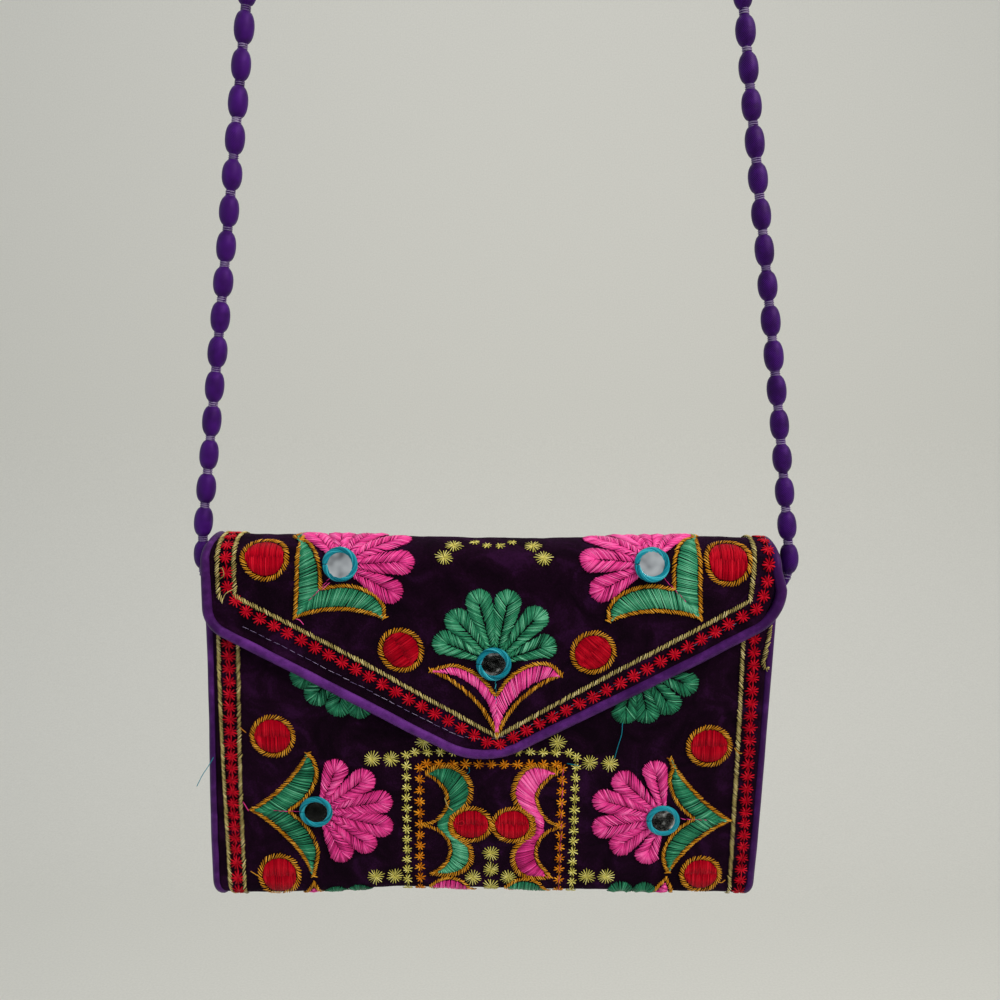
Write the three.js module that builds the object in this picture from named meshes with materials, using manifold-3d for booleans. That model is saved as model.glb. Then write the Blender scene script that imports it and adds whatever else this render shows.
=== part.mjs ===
// A velvet envelope purse with a pointed flap, hanging from its beaded shoulder strap.
// Millimetres, +Z up, the flap faces -Y. The origin is the inside of the strap loop's top,
// where the strap rests on whatever holds it up.
import * as THREE from 'three';
import { mergeVertices } from 'three/addons/utils/BufferGeometryUtils.js';
import Module from 'manifold-3d';

const wasm = await Module();
wasm.setup();

// Strap: covered beads bound off from each other, in two strands that meet at the top
const BEADS_PER_STRAND = 42;
const BEAD_PITCH = 13.5;
const BEAD_LENGTH = 11.4;
const BEAD_DIAMETER = 7.7;
const NECK_DIAMETER = 3.3;
const STRAP_LOOP_RADIUS = 64;
const STRAP_MEETING_GAP = 0.3;
const STRAP_TAIL = 7;

// Purse body
const PURSE_WIDTH = 221;
const PURSE_HEIGHT = 155;
const DEPTH_AT_TOP = 25.5;
const WALL = 2;
const BOTTOM_FOLD_RADIUS = 6;
const TOP_FOLD_RISE = 11;
const MOUTH_DROP = 13;
const FRONT_BOW = 1.55;
const TOP_CORNER_INSET = 5;
const TOP_CORNER_DROP = 12;
const BOTTOM_CORNER_INSET = 3.5;
const BOTTOM_CORNER_RISE = 7;
const STRAP_OVERLAP = 11;
const STRAP_STANDOFF = 6;
const PURSE_TILT = 0.6;

// Flap
const FLAP_GAP = 1.8;
const FLAP_SHOULDER_DROP = 34.8;
const FLAP_TIP_DROP = 93;
const FLAP_SHIFT = -3.5;
const FLAP_SHOULDER_RADIUS = 10.5;
const FLAP_TIP_RADIUS = 30;

// Trim and fittings
const PIPING_DIAMETER = 3.2;
const GUSSET_THICKNESS = 1;
const GUSSET_FOLD_SHARE = 0.75;
const GUSSET_FLAT_SHARE = 0.25;
const SNAP_DIAMETER = 14;
const SNAP_DROP = 76;
const MIRROR_DIAMETER = 10.6;
const MIRROR_THICKNESS = 0.9;
const MIRROR_STANDOFF = 0.5;
const GAP = 0.3;

// Facets
const STRAP_SIDES = 10;
const CORD_SIDES = 8;
const DISC_SIDES = 12;
const FRONT_STEPS = 8;
const BOTTOM_FOLD_STEPS = 6;
const TOP_FOLD_STEPS = 10;
const ACROSS_STEPS = 12;
const CORNER_STEPS = 4;
const SHOULDER_STEPS = 4;
const DIAGONAL_STEPS = 4;
const TIP_STEPS = 3;
const TAIL_STEPS = 4;
const SOLVER_STEPS = 60;

// Shallow hollows and swells of the padded front, shared by the pocket's front and the flap.
// x is a share of half the width, z a share of the height, radius a share of the height,
// and depth a share of the wall.
const DENTS = [
  { x: 0.38, z: 0.72, radius: 0.22, depth: 0.45 },
  { x: -0.42, z: 0.68, radius: 0.26, depth: -0.4 },
  { x: 0.04, z: 0.46, radius: 0.24, depth: 0.35 },
  { x: -0.62, z: 0.28, radius: 0.22, depth: 0.4 },
  { x: 0.6, z: 0.3, radius: 0.24, depth: -0.45 },
];

// The five mirrors that show: x is a share of half the width, drop a share of the height.
const MIRRORS = [
  { name: 'mirror_flap_left', sheet: 'flap', x: -0.537, drop: 0.077 },
  { name: 'mirror_flap_right', sheet: 'flap', x: 0.548, drop: 0.067 },
  { name: 'mirror_flap_centre', sheet: 'flap', x: 0.003, drop: 0.329 },
  { name: 'mirror_front_left', sheet: 'front', x: -0.647, drop: 0.757 },
  { name: 'mirror_front_right', sheet: 'front', x: 0.643, drop: 0.769 },
];

// Sizes that follow
const degrees = THREE.MathUtils.degToRad;
const halfWidth = PURSE_WIDTH / 2;
const beadRadius = BEAD_DIAMETER / 2;
const neckRadius = NECK_DIAMETER / 2;
const pipingRadius = PIPING_DIAMETER / 2;
const edgeToCord = pipingRadius + GAP;
const strandLength = BEADS_PER_STRAND * BEAD_PITCH;
const bottomMidRadius = BOTTOM_FOLD_RADIUS - WALL / 2;
const flapOffset = WALL + FLAP_GAP;
const mouthY = -(DEPTH_AT_TOP - WALL) / 2;
const backY = (DEPTH_AT_TOP - WALL) / 2;
const flapSlope = Math.atan2(FLAP_TIP_DROP - FLAP_SHOULDER_DROP, halfWidth);

// Materials
const velvet = new THREE.MeshStandardMaterial({ color: 0x1e0826, roughness: 0.95, metalness: 0 });
const satin = new THREE.MeshStandardMaterial({ color: 0x472070, roughness: 0.5, metalness: 0 });
const strapCloth = new THREE.MeshStandardMaterial({ color: 0x3b0f66, roughness: 0.55, metalness: 0 });
const mirrorGlass = new THREE.MeshStandardMaterial({ color: 0xc9ced2, roughness: 0.08, metalness: 1 });
const nickel = new THREE.MeshStandardMaterial({ color: 0xb9b6ae, roughness: 0.3, metalness: 1 });

// Closed geometry to solid and back
function toSolid(geometry) {
  const bare = geometry.clone();
  bare.deleteAttribute('normal');
  bare.deleteAttribute('uv');
  const merged = mergeVertices(bare, 1e-4);
  return new wasm.Manifold(new wasm.Mesh({
    numProp: 3,
    vertProperties: new Float32Array(merged.attributes.position.array),
    triVerts: new Uint32Array(merged.index.array),
  }));
}

function toGeometry(solid) {
  const mesh = solid.getMesh();
  const geometry = new THREE.BufferGeometry();
  geometry.setAttribute('position', new THREE.BufferAttribute(mesh.vertProperties, 3));
  geometry.setIndex(new THREE.BufferAttribute(mesh.triVerts, 1));
  geometry.computeVertexNormals();
  return geometry;
}

function moveVertices(geometry, move) {
  const position = geometry.attributes.position;
  const point = new THREE.Vector3();
  for (let i = 0; i < position.count; i += 1) {
    point.fromBufferAttribute(position, i);
    move(point);
    position.setXYZ(i, point.x, point.y, point.z);
  }
  return geometry;
}

// Side profile: (y, z) mid-lines of the one velvet sheet, with z down from the purse's top.
// The front bows out between the bottom fold and the mouth, and leaves the fold on its tangent.
function frontCurve() {
  const centre = new THREE.Vector2(backY - bottomMidRadius, -PURSE_HEIGHT + BOTTOM_FOLD_RADIUS);
  const mouth = new THREE.Vector2(mouthY, -MOUTH_DROP);
  const foot = new THREE.Vector2(centre.x - bottomMidRadius, centre.y);
  const control = new THREE.Vector2();
  let lean = 0;
  for (let i = 0; i < SOLVER_STEPS; i += 1) {
    const chord = new THREE.Vector2().subVectors(mouth, foot);
    const outward = new THREE.Vector2(-chord.y, chord.x).normalize();
    control.copy(foot).addScaledVector(chord, 0.5).addScaledVector(outward, 2 * FRONT_BOW);
    lean = Math.atan2(foot.x - control.x, control.y - foot.y);
    foot.set(centre.x - bottomMidRadius * Math.cos(lean), centre.y - bottomMidRadius * Math.sin(lean));
  }
  return { centre, lean, curve: new THREE.QuadraticBezierCurve(foot, control, mouth) };
}

const { centre: bottomCentre, lean: footLean, curve: frontMid } = frontCurve();
const frontPoints = frontMid.getPoints(FRONT_STEPS);

function frontYAt(z) {
  const points = frontPoints;
  if (z <= points[0].y) return points[0].x;
  for (let i = 1; i < points.length; i += 1) {
    if (z <= points[i].y) {
      const share = (z - points[i - 1].y) / (points[i].y - points[i - 1].y);
      return THREE.MathUtils.lerp(points[i - 1].x, points[i].x, share);
    }
  }
  return points[points.length - 1].x;
}

function flapYAt(z) {
  return frontYAt(z) - flapOffset;
}

// The fold over the top: half an ellipse from the back wall to the flap
const foldFootZ = -WALL / 2 - TOP_FOLD_RISE;
const foldMiddleY = (backY + flapYAt(-MOUTH_DROP)) / 2;
const foldHalfDepth = (backY - flapYAt(-MOUTH_DROP)) / 2;

function topFoldPoints() {
  const curve = new THREE.EllipseCurve(foldMiddleY, foldFootZ, foldHalfDepth, TOP_FOLD_RISE, 0, Math.PI);
  return curve.getPoints(TOP_FOLD_STEPS);
}

// The flap's mid-line with the front half of the fold above it
function flapOrFoldYAt(z) {
  if (z <= foldFootZ) return flapYAt(z);
  const rise = Math.min((z - foldFootZ) / TOP_FOLD_RISE, 1);
  return foldMiddleY - foldHalfDepth * Math.sqrt(1 - rise * rise);
}

// The whole mid-line: mouth, front wall, bottom fold, back wall, top fold, flap to its tip
function sheetMidLine() {
  const front = [...frontPoints].reverse();
  const turn = Math.PI - footLean;
  const bottom = [];
  for (let i = 1; i <= BOTTOM_FOLD_STEPS; i += 1) {
    const angle = -turn * (1 - i / BOTTOM_FOLD_STEPS);
    bottom.push(new THREE.Vector2(
      bottomCentre.x + bottomMidRadius * Math.cos(angle),
      bottomCentre.y + bottomMidRadius * Math.sin(angle),
    ));
  }
  const fold = topFoldPoints();
  const tip = -FLAP_TIP_DROP - WALL;
  const flap = [...frontPoints].reverse()
    .filter((p) => p.y > tip + WALL && p.y < -MOUTH_DROP)
    .map((p) => new THREE.Vector2(p.x - flapOffset, p.y));
  flap.push(new THREE.Vector2(flapYAt(tip), tip));
  return [...front, ...bottom, ...fold, ...flap];
}

// A strip of even thickness round a mid-line, as a closed outline
function stripOutline(line, thickness) {
  const sides = [[], []];
  line.forEach((point, i) => {
    const before = line[Math.max(i - 1, 0)];
    const after = line[Math.min(i + 1, line.length - 1)];
    const into = point.clone().sub(before).normalize();
    const out = after.clone().sub(point).normalize();
    const along = into.clone().add(out).normalize();
    const bend = along.dot(i === 0 ? out : into);
    const normal = new THREE.Vector2(-along.y, along.x).multiplyScalar(thickness / 2 / bend);
    sides[0].push(point.clone().add(normal));
    sides[1].push(point.clone().sub(normal));
  });
  return new THREE.Shape([...sides[0], ...sides[1].reverse()]);
}

// Extrudes a (y, z) outline along X, centred
function acrossX(shape, width, steps) {
  const geometry = new THREE.ExtrudeGeometry(shape, { depth: width, steps, bevelEnabled: false });
  return moveVertices(geometry, (p) => p.set(p.z - width / 2, p.x, p.y));
}

// Extrudes an (x, z) outline along Y, centred. The turn keeps the faces outward.
function alongY(shape, depth) {
  const geometry = new THREE.ExtrudeGeometry(shape, { depth, bevelEnabled: false });
  return moveVertices(geometry, (p) => p.set(p.x, depth / 2 - p.z, p.y));
}

function dentAt(x, z) {
  let sum = 0;
  for (const row of DENTS) {
    const dx = x - row.x * halfWidth;
    const dz = z + row.z * PURSE_HEIGHT;
    const reach = row.radius * PURSE_HEIGHT;
    sum += row.depth * WALL * Math.exp(-(dx * dx + dz * dz) / (reach * reach));
  }
  // The sewn sides and the two folds hold their line.
  const smooth = THREE.MathUtils.smoothstep;
  const sides = 1 - smooth(Math.abs(x), 0.7 * halfWidth, halfWidth);
  const foot = smooth(z + PURSE_HEIGHT, BOTTOM_FOLD_RADIUS, 5 * BOTTOM_FOLD_RADIUS);
  const head = smooth(-z, MOUTH_DROP / 2, 2 * MOUTH_DROP);
  return sum * sides * foot * head;
}

// Half the cut width at a height, with the top and bottom corners drawn in
function halfWidthAt(z) {
  const top = Math.max(0, 1 + z / TOP_CORNER_DROP);
  const rise = (z + PURSE_HEIGHT) / BOTTOM_CORNER_RISE;
  const bottom = Math.max(0, 1 - rise);
  return halfWidth - TOP_CORNER_INSET * top * top - BOTTOM_CORNER_INSET * bottom * bottom;
}

// Front outline of the whole sheet. It passes above and below the sheet, which ends it there.
function sheetOutline() {
  const beyond = WALL;
  const right = [new THREE.Vector2(halfWidthAt(-PURSE_HEIGHT), -PURSE_HEIGHT - beyond)];
  for (let i = 0; i <= CORNER_STEPS; i += 1) {
    const z = -PURSE_HEIGHT + (BOTTOM_CORNER_RISE * i) / CORNER_STEPS;
    right.push(new THREE.Vector2(halfWidthAt(z), z));
  }
  for (let i = 0; i <= CORNER_STEPS; i += 1) {
    const z = -TOP_CORNER_DROP * (1 - i / CORNER_STEPS);
    right.push(new THREE.Vector2(halfWidthAt(z), z));
  }
  right.push(new THREE.Vector2(halfWidthAt(0), beyond));
  const left = right.map((p) => new THREE.Vector2(-p.x, p.y)).reverse();
  return new THREE.Shape([...right, ...left]);
}

// One half of the flap's lower edge, from its shoulder to the middle of its tip
function flapHalfEdge(side) {
  const half = halfWidth - side * FLAP_SHIFT;
  const shoulderX = half - FLAP_SHOULDER_RADIUS;
  const shoulderZ = -FLAP_TIP_DROP + Math.tan(flapSlope) * shoulderX
    + FLAP_SHOULDER_RADIUS / Math.cos(flapSlope);
  const tipCentreZ = -FLAP_TIP_DROP + FLAP_TIP_RADIUS / Math.cos(flapSlope);
  const turn = Math.PI / 2 - flapSlope;
  const points = [];
  for (let i = 0; i <= SHOULDER_STEPS; i += 1) {
    const angle = (-turn * i) / SHOULDER_STEPS;
    points.push(new THREE.Vector2(
      shoulderX + FLAP_SHOULDER_RADIUS * Math.cos(angle),
      shoulderZ + FLAP_SHOULDER_RADIUS * Math.sin(angle),
    ));
  }
  const tip = [];
  for (let i = 0; i <= TIP_STEPS; i += 1) {
    const angle = -turn - (flapSlope * i) / TIP_STEPS;
    tip.push(new THREE.Vector2(
      FLAP_TIP_RADIUS * Math.cos(angle),
      tipCentreZ + FLAP_TIP_RADIUS * Math.sin(angle),
    ));
  }
  const from = points[points.length - 1];
  for (let i = 1; i < DIAGONAL_STEPS; i += 1) points.push(from.clone().lerp(tip[0], i / DIAGONAL_STEPS));
  points.push(...tip);
  return points.map((p) => new THREE.Vector2(side * p.x + FLAP_SHIFT, p.y));
}

// Everything in front of the gap behind the flap and outside the flap's outline
function flapCutter() {
  const reach = PURSE_WIDTH;
  const right = flapHalfEdge(1);
  const left = flapHalfEdge(-1);
  const outside = new THREE.Shape([
    new THREE.Vector2(reach, right[0].y),
    ...right,
    ...left.slice(0, -1).reverse(),
    new THREE.Vector2(-reach, left[0].y),
    new THREE.Vector2(-reach, -reach),
    new THREE.Vector2(reach, -reach),
  ].reverse());
  const gapLine = frontPoints.map((p) => new THREE.Vector2(p.x - flapOffset / 2, p.y));
  const ahead = new THREE.Shape([
    new THREE.Vector2(-reach, -reach),
    new THREE.Vector2(gapLine[0].x, -reach),
    ...gapLine,
    new THREE.Vector2(-reach, gapLine[gapLine.length - 1].y),
  ]);
  const region = moveVertices(acrossX(ahead, 2 * reach, 2 * ACROSS_STEPS), bendFront);
  return toSolid(alongY(outside, 2 * reach)).intersect(toSolid(region));
}

// The pocket's front and the flap sink and swell together.
function bendFront(p) {
  if (p.y < bottomCentre.x - bottomMidRadius / 2) p.y += dentAt(p.x, p.z);
}

function velvetSheet() {
  const spare = 2 * WALL;
  const sheet = acrossX(stripOutline(sheetMidLine(), WALL), PURSE_WIDTH + spare, ACROSS_STEPS);
  moveVertices(sheet, bendFront);
  const outline = toSolid(alongY(sheetOutline(), 4 * DEPTH_AT_TOP));
  return toGeometry(toSolid(sheet).intersect(outline).subtract(flapCutter()));
}

// A curve whose sections fall on its own points, close together in bends and far apart between
class StationCurve extends THREE.CatmullRomCurve3 {
  getUtoTmapping(share) {
    return share;
  }
}

// Where the cord runs along one side: down the pocket's front, up the back and round the flap
function pipingHalf(side) {
  const stations = [];
  const line = sheetMidLine().slice(0, frontPoints.length + BOTTOM_FOLD_STEPS + TOP_FOLD_STEPS + 1);
  line.forEach((point, i) => {
    const before = line[Math.max(i - 1, 0)];
    const after = line[Math.min(i + 1, line.length - 1)];
    stations.push({
      edge: new THREE.Vector3(side * halfWidthAt(point.y), point.x, point.y),
      normal: new THREE.Vector3(0, -(after.y - before.y), after.x - before.x).normalize(),
    });
  });
  for (const point of flapHalfEdge(side)) {
    const y = flapYAt(point.y) + dentAt(point.x, point.y);
    stations.push({ edge: new THREE.Vector3(point.x, y, point.y), normal: new THREE.Vector3(0, 1, 0) });
  }
  return stations.map(({ edge, normal }, i) => {
    const before = stations[Math.max(i - 1, 0)].edge;
    const last = i === stations.length - 1;
    const after = last ? new THREE.Vector3(edge.x - side, edge.y, edge.z) : stations[i + 1].edge;
    const along = last ? new THREE.Vector3(-side, 0, 0) : after.clone().sub(before).normalize();
    const out = new THREE.Vector3().crossVectors(along, normal).multiplyScalar(side).normalize();
    return edge.clone().addScaledVector(out, edgeToCord);
  });
}

// Piping: a cord along the sheet's cut edge, just outside it and level with its middle
function pipingGeometry() {
  const path = new StationCurve([...pipingHalf(1), ...pipingHalf(-1).slice(0, -1).reverse()]);
  const section = new THREE.Shape();
  section.absarc(0, 0, pipingRadius, 0, 2 * Math.PI);
  const round = new THREE.Shape(section.getSpacedPoints(CORD_SIDES).slice(0, CORD_SIDES));
  return new THREE.ExtrudeGeometry(round, {
    extrudePath: path,
    steps: path.points.length - 1,
    bevelEnabled: false,
  });
}

// Half the clear depth between the front and back walls, where the gusset fits
function gussetHalfDepth(z) {
  return (backY - frontYAt(z) - WALL) / 2 - GAP;
}

function gussetFoldAt(z) {
  return gussetHalfDepth(z) * GUSSET_FOLD_SHARE;
}

// Section at a half depth: a sideways V with a flat apex, x from the side edge inward
function gussetSection(half) {
  const fold = half * GUSSET_FOLD_SHARE;
  const flat = half * GUSSET_FLAT_SHARE;
  const angle = Math.atan2(1 - GUSSET_FLAT_SHARE, GUSSET_FOLD_SHARE);
  const edgeOffset = GUSSET_THICKNESS / Math.sin(angle);
  const apexOffset = (GUSSET_THICKNESS * Math.cos(angle)) / (1 + Math.sin(angle));
  return [
    new THREE.Vector2(0, -half),
    new THREE.Vector2(-fold, -flat),
    new THREE.Vector2(-fold, flat),
    new THREE.Vector2(0, half),
    new THREE.Vector2(-edgeOffset, half),
    new THREE.Vector2(-fold - GUSSET_THICKNESS, flat + apexOffset),
    new THREE.Vector2(-fold - GUSSET_THICKNESS, -flat - apexOffset),
    new THREE.Vector2(-edgeOffset, -half),
  ];
}

// Gusset: a strip between the two side edges, folded inward, from the mouth to the bottom fold
function gussetGeometry(side) {
  const footZ = bottomCentre.y;
  const height = -MOUTH_DROP - footZ;
  const base = gussetSection(gussetHalfDepth(-MOUTH_DROP));
  const shape = new THREE.Shape(base);
  const geometry = new THREE.ExtrudeGeometry(shape, {
    depth: height,
    steps: FRONT_STEPS,
    bevelEnabled: false,
  });
  moveVertices(geometry, (p) => {
    const z = footZ + p.z;
    const corner = base.findIndex((q) => Math.hypot(q.x - p.x, q.y - p.y) < 1e-3);
    const at = gussetSection(gussetHalfDepth(z))[corner];
    const middle = (frontYAt(z) + backY) / 2;
    p.set(side * (halfWidthAt(z) - GAP + at.x), middle + at.y, z);
  });
  return side > 0 ? geometry : flipFaces(geometry);
}

function flipFaces(geometry) {
  const flipped = geometry.index ? geometry.toNonIndexed() : geometry;
  const array = flipped.attributes.position.array;
  for (let i = 0; i < array.length; i += 9) {
    for (let k = 0; k < 3; k += 1) {
      [array[i + 3 + k], array[i + 6 + k]] = [array[i + 6 + k], array[i + 3 + k]];
    }
  }
  return flipped;
}

// Strap: where each strand runs, from the middle of the loop down to the purse's side
function strandLeanFor(footX) {
  let low = 0;
  let high = Math.PI / 4;
  for (let i = 0; i < SOLVER_STEPS; i += 1) {
    const lean = (low + high) / 2;
    const straight = strandLength - STRAP_LOOP_RADIUS * (Math.PI / 2 - lean);
    const x = STRAP_LOOP_RADIUS * Math.cos(lean) + straight * Math.sin(lean);
    if (x < footX) low = lean;
    else high = lean;
  }
  return (low + high) / 2;
}

const footX = halfWidth + STRAP_STANDOFF;
const strandLean = strandLeanFor(footX);
const loopCentreZ = beadRadius - STRAP_LOOP_RADIUS;
const arcLength = STRAP_LOOP_RADIUS * (Math.PI / 2 - strandLean);
const footZ = loopCentreZ + STRAP_LOOP_RADIUS * Math.sin(strandLean)
  - (strandLength - arcLength) * Math.cos(strandLean);
const purseTopZ = footZ + (BEAD_PITCH / 2) * Math.cos(strandLean) + STRAP_OVERLAP;

// Where the tail meets the flat of the gusset's fold. The purse tilts about this height.
const tailDrop = purseTopZ - (footZ - STRAP_TAIL);
const tailX = halfWidth - GAP - gussetFoldAt(-tailDrop) + GAP;

// Point and direction on the right strand, at a distance from the middle of the loop
function strandAt(distance) {
  if (distance <= arcLength) {
    const angle = Math.PI / 2 - distance / STRAP_LOOP_RADIUS;
    return {
      point: new THREE.Vector3(
        STRAP_LOOP_RADIUS * Math.cos(angle),
        0,
        loopCentreZ + STRAP_LOOP_RADIUS * Math.sin(angle),
      ),
      along: new THREE.Vector3(Math.sin(angle), 0, -Math.cos(angle)),
    };
  }
  const down = new THREE.Vector3(Math.sin(strandLean), 0, -Math.cos(strandLean));
  if (distance <= strandLength) {
    const back = strandLength - distance;
    const foot = new THREE.Vector3(footX, 0, footZ);
    return { point: foot.addScaledVector(down, -back), along: down };
  }
  // The tail bends in to the gusset: a quadratic curve that leaves along the strand.
  const share = (distance - strandLength) / STRAP_TAIL;
  const foot = new THREE.Vector3(footX, 0, footZ);
  const end = new THREE.Vector3(tailX, 0, footZ - STRAP_TAIL);
  const control = new THREE.Vector3(footX, 0, footZ - STRAP_TAIL);
  const curve = new THREE.QuadraticBezierCurve3(foot, control, end);
  return { point: curve.getPoint(share), along: curve.getTangent(share) };
}

// Shares of the bead's length and of the step from neck to bead radius
const BEAD_PROFILE = [
  { along: 0, radius: 0 },
  { along: 0.2, radius: 0.78 },
  { along: 0.5, radius: 1 },
  { along: 0.8, radius: 0.78 },
  { along: 1, radius: 0 },
];

function strandGeometry(side) {
  const profile = [];
  const start = STRAP_MEETING_GAP / 2;
  profile.push(new THREE.Vector2(0, start), new THREE.Vector2(neckRadius, start));
  const neckLength = BEAD_PITCH - BEAD_LENGTH;
  for (let i = 0; i < BEADS_PER_STRAND; i += 1) {
    const from = i * BEAD_PITCH + neckLength / 2;
    for (const row of BEAD_PROFILE) {
      const radius = neckRadius + (beadRadius - neckRadius) * row.radius;
      profile.push(new THREE.Vector2(radius, from + row.along * BEAD_LENGTH));
    }
  }
  for (let i = 1; i <= TAIL_STEPS; i += 1) {
    profile.push(new THREE.Vector2(neckRadius, strandLength + (STRAP_TAIL * i) / TAIL_STEPS));
  }
  profile.push(new THREE.Vector2(0, strandLength + STRAP_TAIL));
  const geometry = new THREE.LatheGeometry(profile, STRAP_SIDES);
  moveVertices(geometry, (p) => {
    const { point, along } = strandAt(p.y);
    const outward = new THREE.Vector3(-along.z, 0, along.x);
    const x = point.x + outward.x * p.x;
    const z = point.z + outward.z * p.x;
    p.set(side * x, side * p.z, z);
  });
  return geometry;
}

// A point on a sheet's outer face and the face's direction there, judged over a disc's size
function faceAt(sheet, x, z, diameter) {
  const base = sheet === 'flap' ? flapOrFoldYAt : frontYAt;
  const y = (px, pz) => base(pz) + dentAt(px, pz);
  const step = (3 * diameter) / 8;
  const slopeX = (y(x + step, z) - y(x - step, z)) / (2 * step);
  const slopeZ = (y(x, z + step) - y(x, z - step)) / (2 * step);
  const normal = new THREE.Vector3(slopeX, -1, slopeZ).normalize();
  const point = new THREE.Vector3(x, y(x, z), z).addScaledVector(normal, WALL / 2);
  return { point, normal };
}

function disc(name, diameter, thickness, material, point, normal) {
  const geometry = new THREE.CylinderGeometry(diameter / 2, diameter / 2, thickness, DISC_SIDES);
  const mesh = new THREE.Mesh(geometry, material);
  mesh.name = name;
  mesh.position.copy(point);
  mesh.quaternion.setFromUnitVectors(new THREE.Vector3(0, 1, 0), normal);
  return mesh;
}

function mirrorMesh(row) {
  const x = row.x * halfWidth;
  const z = -row.drop * PURSE_HEIGHT;
  const { point, normal } = faceAt(row.sheet, x, z, MIRROR_DIAMETER);
  const place = point.clone().addScaledVector(normal, MIRROR_STANDOFF + MIRROR_THICKNESS / 2);
  return disc(row.name, MIRROR_DIAMETER, MIRROR_THICKNESS, mirrorGlass, place, normal);
}

// The hidden snap fills the gap between the pocket's front and the flap.
function snapMesh() {
  const { point, normal } = faceAt('front', FLAP_SHIFT, -SNAP_DROP, SNAP_DIAMETER);
  const place = point.clone().addScaledVector(normal, FLAP_GAP / 2);
  return disc('snap', SNAP_DIAMETER, FLAP_GAP - 2 * GAP, nickel, place, normal);
}

function named(name, geometry, material) {
  const mesh = new THREE.Mesh(geometry, material);
  mesh.name = name;
  return mesh;
}

const purse = new THREE.Group();
purse.add(named('velvet_panel', velvetSheet(), velvet));
purse.add(named('piping', pipingGeometry(), satin));
purse.add(named('gusset_left', gussetGeometry(-1), satin));
purse.add(named('gusset_right', gussetGeometry(1), satin));
purse.add(snapMesh());
for (const row of MIRRORS) purse.add(mirrorMesh(row));
purse.position.set(tailDrop * Math.sin(degrees(PURSE_TILT)), 0, purseTopZ);
purse.rotation.y = degrees(PURSE_TILT);

const assembly = new THREE.Group();
assembly.add(purse);
assembly.add(named('strap_left', strandGeometry(-1), strapCloth));
assembly.add(named('strap_right', strandGeometry(1), strapCloth));

export default assembly;
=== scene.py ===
"""Velvet envelope purse with mirror-work embroidery, satin piping and a strap of covered beads.

Sizes are in millimetres until a mesh is made, and Blender's units are metres. A place on the
embroidered cloth is given on the flat cloth, as (x, s): x to the right as the flap is seen, and s
along the cloth from the pocket's mouth, down the front, round the bottom, up the back, over the
top and down the flap.
"""
import logging
import math
from dataclasses import dataclass
from enum import Enum
from typing import Callable, Sequence

import bpy
import numpy as np
from mathutils import Matrix, Vector


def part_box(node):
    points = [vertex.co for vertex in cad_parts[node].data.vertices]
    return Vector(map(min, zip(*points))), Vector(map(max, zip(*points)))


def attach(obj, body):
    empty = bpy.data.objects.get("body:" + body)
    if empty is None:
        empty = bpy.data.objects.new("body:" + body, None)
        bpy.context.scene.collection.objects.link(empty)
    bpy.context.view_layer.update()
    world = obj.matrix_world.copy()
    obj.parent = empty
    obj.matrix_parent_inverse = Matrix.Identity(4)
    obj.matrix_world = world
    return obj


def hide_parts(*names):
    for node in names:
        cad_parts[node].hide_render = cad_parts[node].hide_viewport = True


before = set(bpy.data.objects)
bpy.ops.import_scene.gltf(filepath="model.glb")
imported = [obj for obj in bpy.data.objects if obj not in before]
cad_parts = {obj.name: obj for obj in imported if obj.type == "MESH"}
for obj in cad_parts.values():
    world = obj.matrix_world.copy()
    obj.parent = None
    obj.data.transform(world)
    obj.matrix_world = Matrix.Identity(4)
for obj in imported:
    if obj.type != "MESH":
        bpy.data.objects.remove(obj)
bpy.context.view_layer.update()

LOG = logging.getLogger("purse")
MM = 0.001
Array = np.ndarray
SEED = 20


def degrees(angle: float) -> float:
    """An angle in degrees, as radians."""
    return math.radians(angle)


def unit(rows: Array) -> Array:
    """Each row of an array at length 1."""
    return rows / np.maximum(np.linalg.norm(rows, axis=-1, keepdims=True), 1e-12)


def smoothstep(value: Array, low: float, high: float) -> Array:
    """0 below low, 1 above high, and a smooth rise between them."""
    t = np.clip((np.asarray(value, float) - low) / (high - low), 0, 1)
    return t * t * (3 - 2 * t)


def curve_through(points: Sequence[Sequence[float]], steps: int = 12) -> Array:
    """A smooth line through a few points.

    Args:
        points: The points that the line passes.
        steps: Pieces between two points.

    Returns:
        The line's points, one a row.
    """
    p = np.array(points, float)
    p = np.vstack([2 * p[0] - p[1], p, 2 * p[-1] - p[-2]])
    t = np.linspace(0, 1, steps, endpoint=False)[:, None]
    line = [
        0.5 * (2 * b + (c - a) * t + (2 * a - 5 * b + 4 * c - d) * t**2 + (3 * b - a - 3 * c + d) * t**3)
        for a, b, c, d in zip(p, p[1:], p[2:], p[3:])
    ]
    return np.vstack([*line, p[-2:-1]])


def spaced(line: Array, pitch: float) -> tuple[Array, Array]:
    """Points at an even pitch along a line.

    Args:
        line: The line's points, one a row.
        pitch: The wanted distance between two points, which is rounded to fit.

    Returns:
        The points, and the line's direction at each.
    """
    along = np.concatenate([[0], np.cumsum(np.linalg.norm(np.diff(line, axis=0), axis=1))])
    count = max(2, round(along[-1] / pitch) + 1)
    at = np.linspace(0, along[-1], count)
    points = np.stack([np.interp(at, along, line[:, i]) for i in range(line.shape[1])], 1)
    return points, unit(np.gradient(points, axis=0))


def picked(line: Array, share: Array) -> Array:
    """Points at shares of a flat line's length."""
    along = np.concatenate([[0], np.cumsum(np.linalg.norm(np.diff(line, axis=0), axis=1))])
    along /= along[-1]
    return np.stack([np.interp(share, along, line[:, i]) for i in (0, 1)], 1)


def turned(rows: Array, angle: Array) -> Array:
    """Flat directions (x, s) turned by an angle in radians, clockwise as the cloth is seen."""
    c, s = np.cos(angle), np.sin(angle)
    return np.stack([rows[..., 0] * c - rows[..., 1] * s, rows[..., 0] * s + rows[..., 1] * c], -1)


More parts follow.
